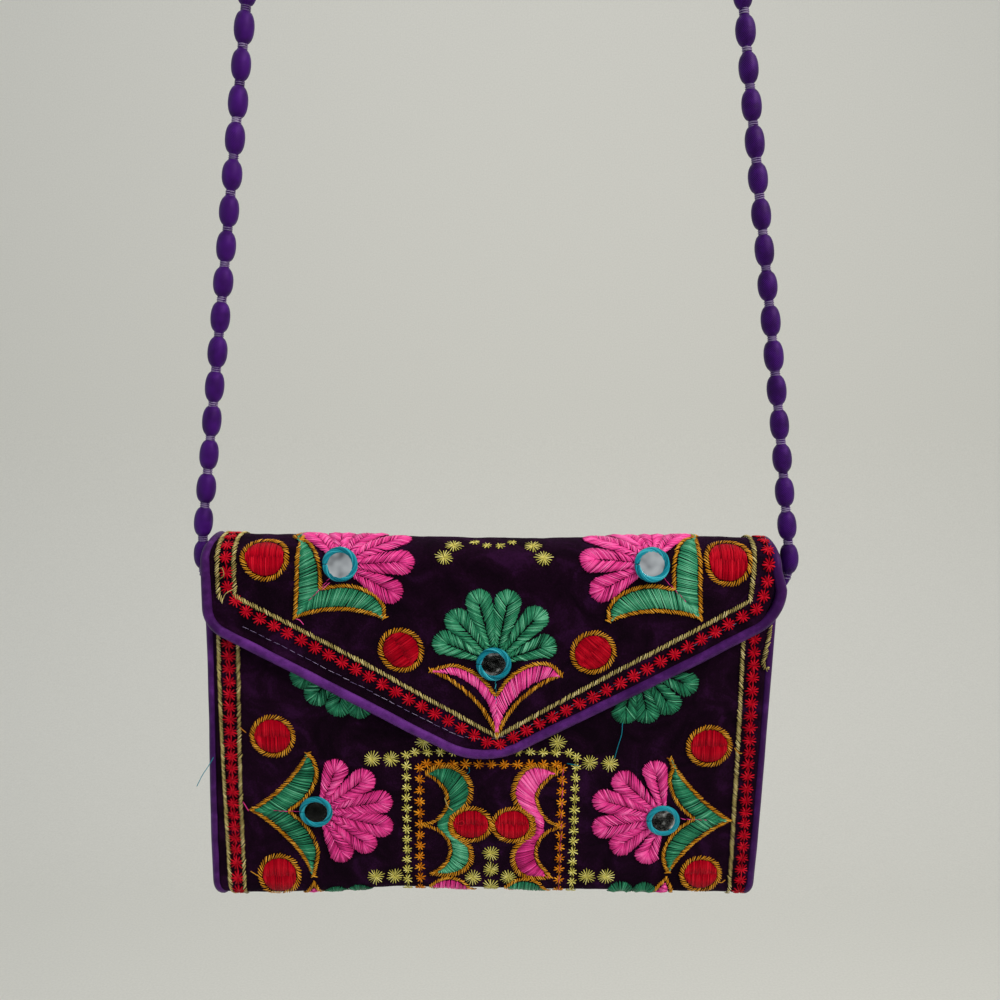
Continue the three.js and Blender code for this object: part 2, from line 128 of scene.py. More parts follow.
@dataclass
class Cloth:
    """The purse's one velvet sheet, as a map from the flat cloth to the folded purse."""

    width: float = 221.0
    height: float = 155.0
    depth: float = 25.5
    wall: float = 2.0
    bottom_radius: float = 6.0
    top_rise: float = 11.0
    # The stitched fold lies flatter than the plain solid's
    settled_rise: float = 7.8
    left_flare: float = 2.6
    right_draw: float = 2.4
    # Where the flare sets in, across and down, and where the draw sets in across
    left_flare_from: tuple[float, float] = (60.0, 40.0)
    right_draw_from: float = 98.0
    # The real fold sits a little higher at its right end, and the bottom a little lower at the left
    right_rise: float = 2.0
    left_sag: float = 3.6
    # Where each of these two sets in and is whole: two heights, and two places across
    rise_reach: tuple[float, float, float, float] = (-14.0, -3.0, 0.0, 90.0)
    sag_reach: tuple[float, float, float, float] = (137.0, 152.0, 30.0, 100.0)
    mouth_drop: float = 13.0
    front_bow: float = 1.55
    top_inset: float = 5.0
    top_drop: float = 12.0
    bottom_inset: float = 3.5
    bottom_rise: float = 7.0
    flap_gap: float = 1.8
    shoulder_drop: float = 34.8
    tip_drop: float = 93.0
    flap_shift: float = -3.5
    shoulder_radius: float = 10.5
    tip_radius: float = 30.0
    # The hand-sewn flap's right edge runs up a little more steeply, to a rounder shoulder
    right_shoulder_drop: float = 31.2
    right_shoulder_radius: float = 17.0
    tilt: float = degrees(0.6)

    def __post_init__(self) -> None:
        """Works out the sheet's profile and where the frame holds it."""
        self.half = self.width / 2
        self.back_y = (self.depth - self.wall) / 2
        self.mid_radius = self.bottom_radius - self.wall / 2
        self.bottom_y = self.back_y - self.mid_radius
        self.bottom_z = self.bottom_radius - self.height
        self.slope = math.atan2(self.tip_drop - self.shoulder_drop, self.half)
        self._trace_profile()
        low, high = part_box("velvet_panel")
        lean = math.sin(self.tilt)
        self.top_z = high[2] / MM - (self.half - self.top_inset) * lean
        middle = (self.top_drop + self.height - self.bottom_rise) / 2
        self.swing = ((low[0] + high[0]) / MM / 2 / lean + middle) * lean

    def _trace_profile(self) -> None:
        """Traces the sheet's mid-line from the mouth to below the flap's tip."""
        mouth = np.array([-self.back_y, -self.mouth_drop])
        centre = np.array([self.bottom_y, self.bottom_z])
        foot = centre - np.array([self.mid_radius, 0])
        for _ in range(60):
            chord = mouth - foot
            out = np.array([-chord[1], chord[0]]) / np.linalg.norm(chord)
            control = foot + chord / 2 + out * 2 * self.front_bow
            lean = math.atan2(foot[0] - control[0], control[1] - foot[1])
            foot = centre - self.mid_radius * np.array([math.cos(lean), math.sin(lean)])
        t = np.linspace(1, 0, 200)[:, None]
        front = (1 - t) ** 2 * foot + 2 * t * (1 - t) * control + t**2 * mouth
        angle = np.linspace(lean - math.pi, 0, 60)[1:]
        bottom = centre + self.mid_radius * np.stack([np.cos(angle), np.sin(angle)], 1)
        ahead = self.wall + self.flap_gap
        fold_front = mouth[0] - ahead
        angle = np.linspace(0, math.pi, 120)
        fold = np.stack([
            (self.back_y + fold_front) / 2 + (self.back_y - fold_front) / 2 * np.cos(angle),
            -self.wall / 2 - self.top_rise + self.top_rise * np.sin(angle),
        ], 1)
        flap = front[front[:, 1] < -self.mouth_drop] - np.array([ahead, 0])
        line = np.vstack([front, bottom, fold, flap])
        steps = np.linalg.norm(np.diff(line, axis=0), axis=1)
        over_fold = line[:, 1] > fold[0, 1]
        settle = self.settled_rise / self.top_rise
        line[over_fold, 1] = fold[0, 1] + (line[over_fold, 1] - fold[0, 1]) * settle
        self.line_s = np.concatenate([[0], np.cumsum(steps)])
        self.line = line
        self.tangent = unit(np.gradient(line, axis=0))
        self.front_end = float(self.line_s[len(front) - 1])
        self.fold_top = float(self.line_s[len(front) + len(bottom) + len(fold) // 2])
        self.fold_end = float(self.line_s[-len(flap) - 1])

    def half_width(self, z: Array) -> Array:
        """Half the cut width at a height, with the top and bottom corners drawn in."""
        top = np.maximum(0, 1 + z / self.top_drop)
        bottom = np.maximum(0, 1 - (z + self.height) / self.bottom_rise)
        return self.half - self.top_inset * top**2 - self.bottom_inset * bottom**2

    def flap_edge_z(self, x: Array) -> Array:
        """Height of the flap's lower edge at each x, with round shoulders and a round tip."""
        side = np.sign(np.asarray(x, float) - self.flap_shift)
        out = np.abs(x - self.flap_shift)
        right_slope = math.atan2(self.tip_drop - self.right_shoulder_drop, self.half)
        slope = np.where(side > 0, right_slope, self.slope)
        radius = np.where(side > 0, self.right_shoulder_radius, self.shoulder_radius)
        shoulder_x = self.half - side * self.flap_shift - radius
        tip_z = self.tip_radius / math.cos(self.slope) - self.tip_drop
        corner_z = tip_z - self.tip_radius / np.cos(slope)
        shoulder_z = np.tan(slope) * shoulder_x + corner_z + radius / np.cos(slope)
        beyond = np.clip(out - shoulder_x, 0, radius)
        shoulder = shoulder_z - np.sqrt(radius**2 - beyond**2)
        tip = tip_z - np.sqrt(self.tip_radius**2 - np.clip(out, 0, self.tip_radius * 0.9) ** 2)
        z = np.tan(slope) * out + corner_z
        z = np.where(out > shoulder_x + radius * np.sin(slope), shoulder, z)
        return np.where(out < self.tip_radius * np.sin(slope), tip, z)

    def flap_s(self, z: Array) -> Array:
        """Where a height on the flap lies along the cloth."""
        on_flap = self.line_s >= self.fold_end
        return np.interp(-np.asarray(z), -self.line[on_flap, 1], self.line_s[on_flap])

    def dent(self, x: Array, z: Array) -> Array:
        """How far the front and the flap sink towards the back in their soft dents."""
        dents = np.array([
            # x, drop, reach, depth: shares of half the width, the height, the height and the wall
            (0.38, 0.72, 0.22, 0.45),
            (-0.42, 0.68, 0.26, -0.4),
            (0.04, 0.46, 0.24, 0.35),
            (-0.62, 0.28, 0.22, 0.4),
            (0.6, 0.3, 0.24, -0.45),
        ])
        total = np.zeros(np.broadcast(x, z).shape)
        for share_x, drop, reach, depth in dents:
            apart = (x - share_x * self.half) ** 2 + (z + drop * self.height) ** 2
            total = total + depth * self.wall * np.exp(-apart / (reach * self.height) ** 2)
        sides = 1 - smoothstep(np.abs(x), 0.7 * self.half, self.half)
        return total * sides * smoothstep(z + self.height, 6, 30) * smoothstep(-z, 6.5, 26)

    def normal(self, s: Array) -> Array:
        """The direction out of the cloth's velvet face, before the purse is tilted."""
        ty = np.interp(s, self.line_s, self.tangent[:, 0])
        tz = np.interp(s, self.line_s, self.tangent[:, 1])
        return unit(np.stack([np.zeros_like(ty), tz, -ty], -1))

    def surface(self, x: Array, s: Array, lift: Array = 1.0) -> Array:
        """Where a place on the cloth comes to lie.

        Args:
            x: Across the cloth.
            s: Along the cloth.
            lift: Out from the middle of the wall, whose velvet face is at 1 mm.

        Returns:
            Points in the purse's own frame, whose origin is at the middle of its top.
        """
        x, s, lift = np.broadcast_arrays(np.asarray(x, float), s, lift)
        out = self.normal(s)
        y = np.interp(s, self.line_s, self.line[:, 0]) + out[..., 1] * lift
        z = np.interp(s, self.line_s, self.line[:, 1]) + out[..., 2] * lift
        ahead = (s < self.front_end) | (s > self.fold_top + 5)
        return np.stack([x, y + np.where(ahead, self.dent(x, z), 0), z], -1)

    def flare(self, x: Array, z: Array) -> Array:
        """Where a cut edge at x really runs: the left one spreads out, the right one is drawn in."""
        out, down = self.left_flare_from
        spread = self.left_flare * smoothstep(-x, out, self.half) * smoothstep(-z, down, self.height)
        return x - spread - self.right_draw * smoothstep(x, self.right_draw_from, self.half)

    def to_world(self, points: Array) -> Array:
        """Points of the purse's own frame in the row frame, in metres, as the cloth has settled."""
        across, up = points[..., 0], points[..., 2]
        low, high, near, far = self.rise_reach
        rise = self.right_rise * smoothstep(up, low, high) * smoothstep(across, near, far)
        low, high, near, far = self.sag_reach
        sag = self.left_sag * smoothstep(-up, low, high) * smoothstep(-across, near, far)
        up = up + rise - sag
        c, s = math.cos(self.tilt), math.sin(self.tilt)
        x = across * c + up * s + self.swing
        z = up * c - across * s + self.top_z
        return np.stack([x, points[..., 1], z], -1) * MM

    def turn_to_world(self, directions: Array) -> Array:
        """Directions of the purse's own frame in the row frame."""
        c, s = math.cos(self.tilt), math.sin(self.tilt)
        x = directions[..., 0] * c + directions[..., 2] * s
        z = directions[..., 2] * c - directions[..., 0] * s
        return np.stack([x, directions[..., 1], z], -1)


def linear(code: str, alpha: float = 1.0) -> tuple[float, float, float, float]:
    """An sRGB hex colour as the linear colour that the shader takes."""
    parts = [int(code[i:i + 2], 16) / 255 for i in (1, 3, 5)]
    light = [v / 12.92 if v <= 0.04045 else ((v + 0.055) / 1.055) ** 2.4 for v in parts]
    return (light[0], light[1], light[2], alpha)


def add_node(
    tree: bpy.types.NodeTree, kind: str, settings: dict | None = None, inputs: dict | None = None
) -> bpy.types.Node:
    """Adds a node, with its settings, and its inputs set or linked.

    Args:
        tree: The material's node tree.
        kind: The node's type, without its ShaderNode prefix.
        settings: Properties to set on the node.
        inputs: Values, or sockets to link, by input name or number.

    Returns:
        The new node.
    """
    node = tree.nodes.new("ShaderNode" + kind)
    for key, value in (settings or {}).items():
        setattr(node, key, value)
    for key, value in (inputs or {}).items():
        if isinstance(value, bpy.types.NodeSocket):
            tree.links.new(value, node.inputs[key])
        else:
            node.inputs[key].default_value = value
    return node


def ramp(
    tree: bpy.types.NodeTree, value: bpy.types.NodeSocket, stops: dict[float, str]
) -> bpy.types.NodeSocket:
    """A colour that follows a value through a few stops, given as sRGB hex."""
    node = add_node(tree, "ValToRGB", inputs={"Fac": value})
    elements = node.color_ramp.elements
    while len(elements) < len(stops):
        elements.new(0.5)
    for element, (place, code) in zip(elements, sorted(stops.items())):
        element.position = place
        element.color = linear(code)
    return node.outputs["Color"]


def new_material(name: str) -> tuple[bpy.types.Material, bpy.types.NodeTree, bpy.types.Node]:
    """A material with only its output and a Principled shader.

    Returns:
        The material, its node tree and the shader.
    """
    material = bpy.data.materials.new(name)
    material.use_nodes = True
    tree = material.node_tree
    tree.nodes.clear()
    shader = add_node(tree, "BsdfPrincipled")
    add_node(tree, "OutputMaterial", inputs={"Surface": shader.outputs["BSDF"]})
    return material, tree, shader


def set_inputs(tree: bpy.types.NodeTree, node: bpy.types.Node, values: dict) -> None:
    """Sets or links several inputs of a node that is there already."""
    for key, value in values.items():
        if isinstance(value, bpy.types.NodeSocket):
            tree.links.new(value, node.inputs[key])
        else:
            node.inputs[key].default_value = value


@dataclass(frozen=True)
class Velvet:
    """Cotton velvet, woven and sheared: it drinks light face on and glows where the nap turns."""

    name: str = "cotton_velvet_sheared"
    deep: str = "#0c020b"
    body: str = "#160415"
    brushed: str = "#260a29"
    nap_size: float = 0.7
    stroke_size: float = 14.0

    def material(self) -> bpy.types.Material:
        """Makes the material."""
        material, tree, shader = new_material(self.name)
        place = add_node(tree, "TexCoord").outputs["Object"]
        strokes = add_node(tree, "TexNoise", inputs={
            "Vector": place, "Scale": 1 / (self.stroke_size * MM), "Detail": 5.0, "Roughness": 0.62,
            "Distortion": 0.8,
        })
        nap = add_node(tree, "TexNoise", inputs={
            "Vector": place, "Scale": 1 / (self.nap_size * MM), "Detail": 2.0,
        })
        mottle = add_node(tree, "MapRange", inputs={
            "Value": strokes.outputs["Fac"], "From Min": 0.36, "From Max": 0.7,
        })
        tips = add_node(tree, "MapRange", inputs={
            "Value": nap.outputs["Fac"], "From Min": 0.3, "From Max": 0.75, "To Min": -0.16, "To Max": 0.2,
        })
        both = add_node(tree, "Math", {"operation": "ADD"}, {
            0: mottle.outputs["Result"], 1: tips.outputs["Result"],
        })
        colour = ramp(tree, both.outputs[0], {0.0: self.deep, 0.5: self.body, 1.0: self.brushed})
        bump = add_node(tree, "Bump", inputs={
            "Height": nap.outputs["Fac"], "Strength": 0.55, "Distance": 0.25 * MM,
        })
        set_inputs(tree, shader, {
            "Base Color": colour, "Roughness": 0.92, "Specular IOR Level": 0.04,
            "Sheen Weight": 0.07, "Sheen Roughness": 0.4, "Sheen Tint": linear("#7d3f8c"),
            "Normal": bump.outputs["Normal"],
        })
        return material


@dataclass(frozen=True)
class Satin:
    """Woven satin over a cord, strip or bead: a soft streak of gloss with fine floats across it, and, where
    asked, painted shade by place.
    """

    name: str
    dark: str
    light: str
    float_pitch: float = 0.32
    roughness: float = 0.46
    wrinkle: float = 0.25
    weave: float = 0.14
    # Painted shade: how much darker its tone is made at the purse's sides, and in its right half
    painted_side_shade: float = 0.0
    painted_right_shade: float = 0.0
    # Where across the purse each of these sets in and is whole, in millimetres
    side_reach: tuple[float, float] = (101.0, 109.0)
    right_reach: tuple[float, float] = (-5.0, 45.0)

    def material(self) -> bpy.types.Material:
        """Makes the material. Its UV runs along and round the piece, in metres."""
        material, tree, shader = new_material(self.name)
        place = add_node(tree, "UVMap", {"uv_map": "UVMap"}).outputs["UV"]
        spot = add_node(tree, "TexCoord").outputs["Object"]
        cloth = add_node(tree, "TexNoise", inputs={
            "Vector": spot, "Scale": 1 / (5.5 * MM), "Detail": 4.0, "Roughness": 0.6,
        })
        slant = add_node(tree, "Mapping", inputs={"Vector": place, "Rotation": (0, 0, degrees(34))})
        weave = add_node(tree, "TexWave", {"wave_type": "BANDS", "bands_direction": "X"}, {
            "Vector": slant.outputs["Vector"], "Scale": 0.314 / (self.float_pitch * MM),
            "Distortion": 1.6, "Detail": 1.5, "Detail Scale": 1.2,
        })
        tone = add_node(tree, "MapRange", inputs={
            "Value": weave.outputs["Fac"], "From Min": 0.0, "From Max": 1.0, "To Min": -self.weave,
            "To Max": self.weave,
        })
        # Painted shade: the tone is darkened by place across the purse, at its sides and in its right half
        x = add_node(tree, "SeparateXYZ", inputs={"Vector": spot}).outputs["X"]
        out = add_node(tree, "Math", {"operation": "ABSOLUTE"}, {0: x})
        side = add_node(tree, "MapRange", inputs={
            "Value": out.outputs[0], "From Min": self.side_reach[0] * MM,
            "From Max": self.side_reach[1] * MM, "To Min": 0.0, "To Max": -self.painted_side_shade,
        })
        right = add_node(tree, "MapRange", inputs={
            "Value": x, "From Min": self.right_reach[0] * MM,
            "From Max": self.right_reach[1] * MM, "To Min": 0.0, "To Max": -self.painted_right_shade,
        })
        mixed = cloth.outputs["Fac"]
        for part in (tone, side, right):
            shaded = add_node(tree, "Math", {"operation": "ADD"}, {0: mixed, 1: part.outputs["Result"]})
            mixed = shaded.outputs[0]
        colour = ramp(tree, mixed, {0.3: self.dark, 0.68: self.light})
        fine = add_node(tree, "Bump", inputs={
            "Height": weave.outputs["Fac"], "Strength": 0.45, "Distance": 0.06 * MM,
        })
        soft = add_node(tree, "Bump", inputs={
            "Height": cloth.outputs["Fac"], "Strength": self.wrinkle, "Distance": 0.9 * MM,
            "Normal": fine.outputs["Normal"],
        })
        set_inputs(tree, shader, {
            "Base Color": colour, "Roughness": self.roughness, "Specular IOR Level": 0.4,
            "Specular Tint": linear("#9c6cc8"), "Sheen Weight": 0.03, "Sheen Roughness": 0.4,
            "Sheen Tint": linear("#9060c0"),
            "Normal": soft.outputs["Normal"],
        })
        return material


@dataclass(frozen=True)
class Thread:
    """Rayon embroidery floss, spun and dyed: each stitch its own tone, with a silky highlight, and painted
    shade towards its ends.
    """

    name: str
    dark: str
    body: str
    light: str
    roughness: float = 0.42

    def material(self) -> bpy.types.Material:
        """Makes the material. Each stitch's tone comes with its mesh, as an attribute, which on stitches
        also carries painted shade at their ends and a painted highlight at their crowns.
        """
        material, tree, shader = new_material(self.name)
        tone = add_node(tree, "Attribute", {"attribute_name": "tone"}).outputs["Fac"]
        place = add_node(tree, "UVMap", {"uv_map": "UVMap"}).outputs["UV"]
        slant = add_node(tree, "Mapping", inputs={"Vector": place, "Rotation": (0, 0, degrees(28))})
        # The real twist is about 0.15 mm, drawn at 0.4 mm so that it shows
        twist = add_node(tree, "TexWave", {"wave_type": "BANDS", "bands_direction": "X"}, {
            "Vector": slant.outputs["Vector"], "Scale": 0.314 / (0.4 * MM), "Distortion": 0.6,
        })
        fleck = add_node(tree, "MapRange", inputs={
            "Value": twist.outputs["Fac"], "To Min": -0.09, "To Max": 0.09,
        })
        mixed = add_node(tree, "Math", {"operation": "ADD"}, {0: tone, 1: fleck.outputs["Result"]})
        colour = ramp(tree, mixed.outputs[0], {0.0: self.dark, 0.5: self.body, 1.0: self.light})
        bump = add_node(tree, "Bump", inputs={
            "Height": twist.outputs["Fac"], "Strength": 0.35, "Distance": 0.05 * MM,
        })
        set_inputs(tree, shader, {
            "Base Color": colour, "Roughness": self.roughness, "Specular IOR Level": 0.45,
            "Specular Tint": linear(self.light), "Sheen Weight": 0.05, "Sheen Roughness": 0.35,
            "Sheen Tint": linear(self.light), "Normal": bump.outputs["Normal"],
        })
        return material


@dataclass(frozen=True)
class MirrorGlass:
    """Thin blown glass, silvered behind: bright, a little wavy and clouded, with a faint spotted haze."""

    name: str = "silvered_glass"

    def material(self) -> bpy.types.Material:
        """Makes the material."""
        material, tree, shader = new_material(self.name)
        place = add_node(tree, "TexCoord").outputs["Object"]
        wave = add_node(tree, "TexNoise", inputs={"Vector": place, "Scale": 1 / (6 * MM), "Detail": 1.0})
        spots = add_node(tree, "TexNoise", inputs={"Vector": place, "Scale": 1 / (0.7 * MM), "Detail": 4.0})
        colour = ramp(tree, wave.outputs["Fac"], {0.32: "#7f8183", 0.47: "#c3c6c8", 0.62: "#e2e5e6"})
        haze = add_node(tree, "MapRange", inputs={
            "Value": spots.outputs["Fac"], "From Min": 0.3, "From Max": 0.7, "To Min": 0.12, "To Max": 0.04,
        })
        bump = add_node(tree, "Bump", inputs={
            "Height": wave.outputs["Fac"], "Strength": 0.35, "Distance": 0.5 * MM,
        })
        set_inputs(tree, shader, {
            "Base Color": colour, "Metallic": 1.0, "Roughness": haze.outputs["Result"],
            "Normal": bump.outputs["Normal"],
        })
        return material


@dataclass(frozen=True)
class NickelPlate:
    """Nickel plate, tumbled: a warm grey metal with fine random scratches."""

    name: str = "nickel_plate_tumbled"

    def material(self) -> bpy.types.Material:
        """Makes the material."""
        material, tree, shader = new_material(self.name)
        place = add_node(tree, "TexCoord").outputs["Object"]
        grain = add_node(tree, "TexNoise", inputs={"Vector": place, "Scale": 1 / (0.8 * MM), "Detail": 5.0})
        colour = ramp(tree, grain.outputs["Fac"], {0.3: "#a39f95", 0.7: "#c4c0b6"})
        rough = add_node(tree, "MapRange", inputs={
            "Value": grain.outputs["Fac"], "To Min": 0.22, "To Max": 0.42,
        })
        set_inputs(tree, shader, {
            "Base Color": colour, "Metallic": 1.0, "Roughness": rough.outputs["Result"],
        })
        return material


@dataclass(frozen=True)
class Plaster:
    """Matt painted plaster: the plain pale ground of the studio, with a faint roller texture."""

    name: str = "painted_plaster"
    low: str = "#dcdcd6"
    high: str = "#e3e3dd"

    def material(self) -> bpy.types.Material:
        """Makes the material."""
        material, tree, shader = new_material(self.name)
        place = add_node(tree, "TexCoord").outputs["Object"]
        stipple = add_node(tree, "TexNoise", inputs={"Vector": place, "Scale": 260.0, "Detail": 3.0})
        colour = ramp(tree, stipple.outputs["Fac"], {0.3: self.low, 0.7: self.high})
        set_inputs(tree, shader, {"Base Color": colour, "Roughness": 0.95, "Specular IOR Level": 0.1})
        return material


class Colour(Enum):
    """The embroidery's thread colours, each with its finish."""

    PINK = Thread("floss_rose_pink", "#8d0c4a", "#e23a90", "#ff7fc0")
    GREEN = Thread("floss_emerald", "#0b3d2a", "#29835d", "#79c8a2")
    RED = Thread("floss_scarlet", "#6f0110", "#a8041b", "#cf1a2e")
    GOLD = Thread("floss_old_gold", "#734204", "#bd7d14", "#e8b047")
    PALE = Thread("floss_straw", "#6f6824", "#c4bb58", "#ece493")
    ROPE = Thread("floss_olive_gold", "#5c5128", "#ae9e5c", "#e2d59b")
    TURQUOISE = Thread("floss_turquoise", "#06404d", "#127f92", "#48bac8", 0.34)
    ORANGE = Thread("floss_amber", "#7d3c02", "#c4700c", "#eca42c")
    LILAC = Thread("sewing_cotton_lilac", "#35244a", "#75638f", "#b9adc9", 0.6)

    @property
    def slot(self) -> str:
        """The record's slot for this thread."""
        slots = {"ROPE": "thread_gold", "LILAC": "strap_satin"}
        return slots.get(self.name, "thread_" + self.name.lower())


def make_mesh(
    name: str, points: Array, faces: Array, uv: Array | None = None, tone: Array | None = None
) -> bpy.types.Object:
    """Makes a smooth object from arrays.

    Args:
        name: The piece's name.
        points: Its vertices in the row frame, in metres.
        faces: Vertex numbers, one face a row.
        uv: A place in metres for each vertex.
        tone: A tone for each vertex, from 0 to 1.

    Returns:
        The object, at the origin.
    """
    mesh = bpy.data.meshes.new(name)
    mesh.from_pydata(points.tolist(), [], faces.tolist())
    piece = bpy.data.objects.new(name, mesh)
    bpy.context.scene.collection.objects.link(piece)
    if uv is not None:
        set_uv(mesh, uv)
    if tone is not None:
        mesh.attributes.new("tone", "FLOAT", "POINT").data.foreach_set("value", tone.astype(np.float32))
    mesh.shade_smooth()
    return piece


def set_uv(mesh: bpy.types.Mesh, uv: Array) -> None:
    """Writes a UV map from a place for each vertex."""
    corners = np.empty(len(mesh.loops), int)
    mesh.loops.foreach_get("vertex_index", corners)
    layer = mesh.uv_layers.get("UVMap") or mesh.uv_layers.new(name="UVMap")
    layer.data.foreach_set("uv", uv[corners].astype(np.float32).ravel())


def grid_piece(
    name: str, columns: int, rows: int, place: Callable[[Array, Array], Array]
) -> bpy.types.Object:
    """Adds a grid and moves its vertices to their places, with its shares as its UV map.

    Args:
        name: The piece's name.
        columns: Cells across.
        rows: Cells along.
        place: Takes the share across and the share along, and returns points in metres.

    Returns:
        The object, at the origin.
    """
    bpy.ops.object.select_all(action="DESELECT")
    bpy.ops.mesh.primitive_grid_add(x_subdivisions=columns, y_subdivisions=rows, size=2)
    piece = bpy.context.active_object
    piece.name = name
    mesh = piece.data
    flat = np.empty(len(mesh.vertices) * 3)
    mesh.vertices.foreach_get("co", flat)
    shares = (flat.reshape(-1, 3)[:, :2] + 1) / 2
    mesh.vertices.foreach_set("co", place(shares[:, 0], shares[:, 1]).ravel())
    set_uv(mesh, shares)
    mesh.update()
    return piece


def select_only(piece: bpy.types.Object) -> None:
    """Makes one piece the only selected one, and active."""
    bpy.ops.object.select_all(action="DESELECT")
    piece.select_set(True)
    bpy.context.view_layer.objects.active = piece


def weld(piece: bpy.types.Object, distance: float = 0.002) -> None:
    """Merges doubles, within a distance in millimetres, and turns the faces outwards."""
    select_only(piece)
    bpy.ops.object.mode_set(mode="EDIT")
    bpy.ops.mesh.select_all(action="SELECT")
    bpy.ops.mesh.remove_doubles(threshold=distance * MM)
    bpy.ops.mesh.normals_make_consistent(inside=False)
    bpy.ops.object.mode_set(mode="OBJECT")
    bpy.ops.object.shade_smooth()


def thicken(piece: bpy.types.Object, thickness: float) -> None:
    """Gives a sheet its wall, inwards from its faces, and applies it."""
    select_only(piece)
    solid = piece.modifiers.new("wall", "SOLIDIFY")
    solid.thickness = thickness * MM
    solid.offset = -1.0
    bpy.ops.object.modifier_apply(modifier=solid.name)
    bpy.ops.object.shade_smooth()


def face_towards(piece: bpy.types.Object, outward: Array) -> None:
    """Flips a sheet's faces if its first face doesn't look the given way."""
    if piece.data.polygons[0].normal.dot(Vector(outward)) < 0:
        piece.data.flip_normals()


def tube_piece(
    name: str, path: Array, across: Array, radii: Callable[[Array, Array], Array], sides: int
) -> bpy.types.Object:
    """Sweeps a closed round piece along a path.

    Args:
        name: The piece's name.
        path: Its centre line in metres, one point a row, with an even pitch.
        across: A direction for each point that is never along the path.
        radii: Takes the share round and the share along, and returns radii in metres.
        sides: Faces round it.

    Returns:
        The object, whose ends are drawn to a point and whose UV is metres round and along.
    """
    rows = len(path) - 1
    along = unit(np.gradient(path, axis=0))
    side = unit(np.cross(along, across))
    up = np.cross(side, along)
    length = np.linalg.norm(np.diff(path, axis=0), axis=1).sum()
    shares = np.linspace(0, 1, len(path))

    def blend(rows_of: Array, v: Array) -> Array:
        """A value of each path point, between the points."""
        return np.stack([np.interp(v, shares, rows_of[:, i]) for i in range(3)], 1)

    def place(u: Array, v: Array) -> Array:
        """Where the grid's shares lie on the tube."""
        angle = 2 * math.pi * u
        ends = (v > 1e-6) & (v < 1 - 1e-6)
        r = np.where(ends, radii(u, v), 0)[:, None]
        out = np.cos(angle)[:, None] * blend(side, v) + np.sin(angle)[:, None] * blend(up, v)
        return blend(path, v) + r * out

    piece = grid_piece(name, sides, rows, place)
    uv = np.empty(len(piece.data.loops) * 2, np.float32)
    layer = piece.data.uv_layers["UVMap"].data
    layer.foreach_get("uv", uv)
    girth = 2 * math.pi * float(np.median(radii(np.zeros(9), np.linspace(0.05, 0.95, 9))))
    layer.foreach_set("uv", (uv.reshape(-1, 2) * [girth, length]).astype(np.float32).ravel())
    weld(piece)
    return piece


def dress(piece: bpy.types.Object, material: bpy.types.Material) -> bpy.types.Object:
    """Gives a piece its material, and lets it ride on the purse."""
    piece.data.materials.clear()
    piece.data.materials.append(material)
    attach(piece, "root")
    LOG.info("%s: %d faces in %s", piece.name, len(piece.data.polygons), material.name)
    return piece


@dataclass
class VelvetCover:
    """The velvet sheet itself, with its wall, soft dents and the grooves beside its seams."""

    cloth: Cloth
    columns: int = 144
    rows: int = 296
    wall: float = 1.8
    seam_inset: float = 3.4
    seam_depth: float = 0.45

    def sink(self, x: Array, s: Array) -> Array:
        """How deep the velvet lies below its plain surface."""
        rng = np.random.default_rng(SEED)
        total = np.zeros_like(x)
        for reach in (34, 21, 13, 8.5, 6):
            turn, phase_a, phase_b = rng.uniform(0, 2 * math.pi, 3)
            a = x * math.cos(turn) + s * math.sin(turn)
            b = s * math.cos(turn) - x * math.sin(turn)
            wave = 0.006 * reach * np.sin(a * 2 * math.pi / reach + phase_a)
            total += wave * np.sin(b * 4 / reach + phase_b)
        z = np.interp(s, self.cloth.line_s, self.cloth.line[:, 1])
        from_edge = (z - self.cloth.flap_edge_z(x)) * math.cos(self.cloth.slope)
        shift = self.cloth.flap_shift
        from_side = self.cloth.half - np.abs(x - 0.2 * shift)
        inside = np.where(s > self.cloth.fold_end, np.minimum(from_edge, from_side), from_side)
        groove = self.seam_depth * np.exp(-(((inside - self.seam_inset) / 1.3) ** 2))
        return np.abs(total) + groove * (s > self.cloth.fold_top)

    def build(self, material: bpy.types.Material) -> bpy.types.Object:
        """Builds the sheet and lets it stand for the plain one."""
        cloth = self.cloth
        flap_share = 0.2
        places: dict[str, Array] = {}

        def place(u: Array, v: Array) -> Array:
            """Where the grid's shares lie on the folded cloth."""
            spread = 2 * u - 1
            x = cloth.half * (1.2 * spread - 0.2 * spread**3)
            edge = cloth.flap_s(cloth.flap_edge_z(x))
            down = np.maximum(0, (v - 1 + flap_share) / flap_share)
            on_flap = cloth.fold_end + down * (edge - cloth.fold_end)
            s = np.where(down > 0, on_flap, v / (1 - flap_share) * cloth.fold_end)
            z = np.interp(s, cloth.line_s, cloth.line[:, 1])
            x = cloth.flare(x * cloth.half_width(z) / cloth.half, z)
            places["uv"] = np.stack([x, s], 1) * MM
            return cloth.to_world(cloth.surface(x, s, 1.0 - self.sink(x, s)))

        piece = grid_piece("velvet_cover", self.columns, self.rows, place)
        set_uv(piece.data, places["uv"])
        face_towards(piece, (0, -1, 0))
        thicken(piece, self.wall)
        dress(piece, material)
        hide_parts("velvet_panel")
        edge_s = cloth.flap_s(cloth.flap_edge_z(np.linspace(-cloth.half, cloth.half, 200)))
        return piece


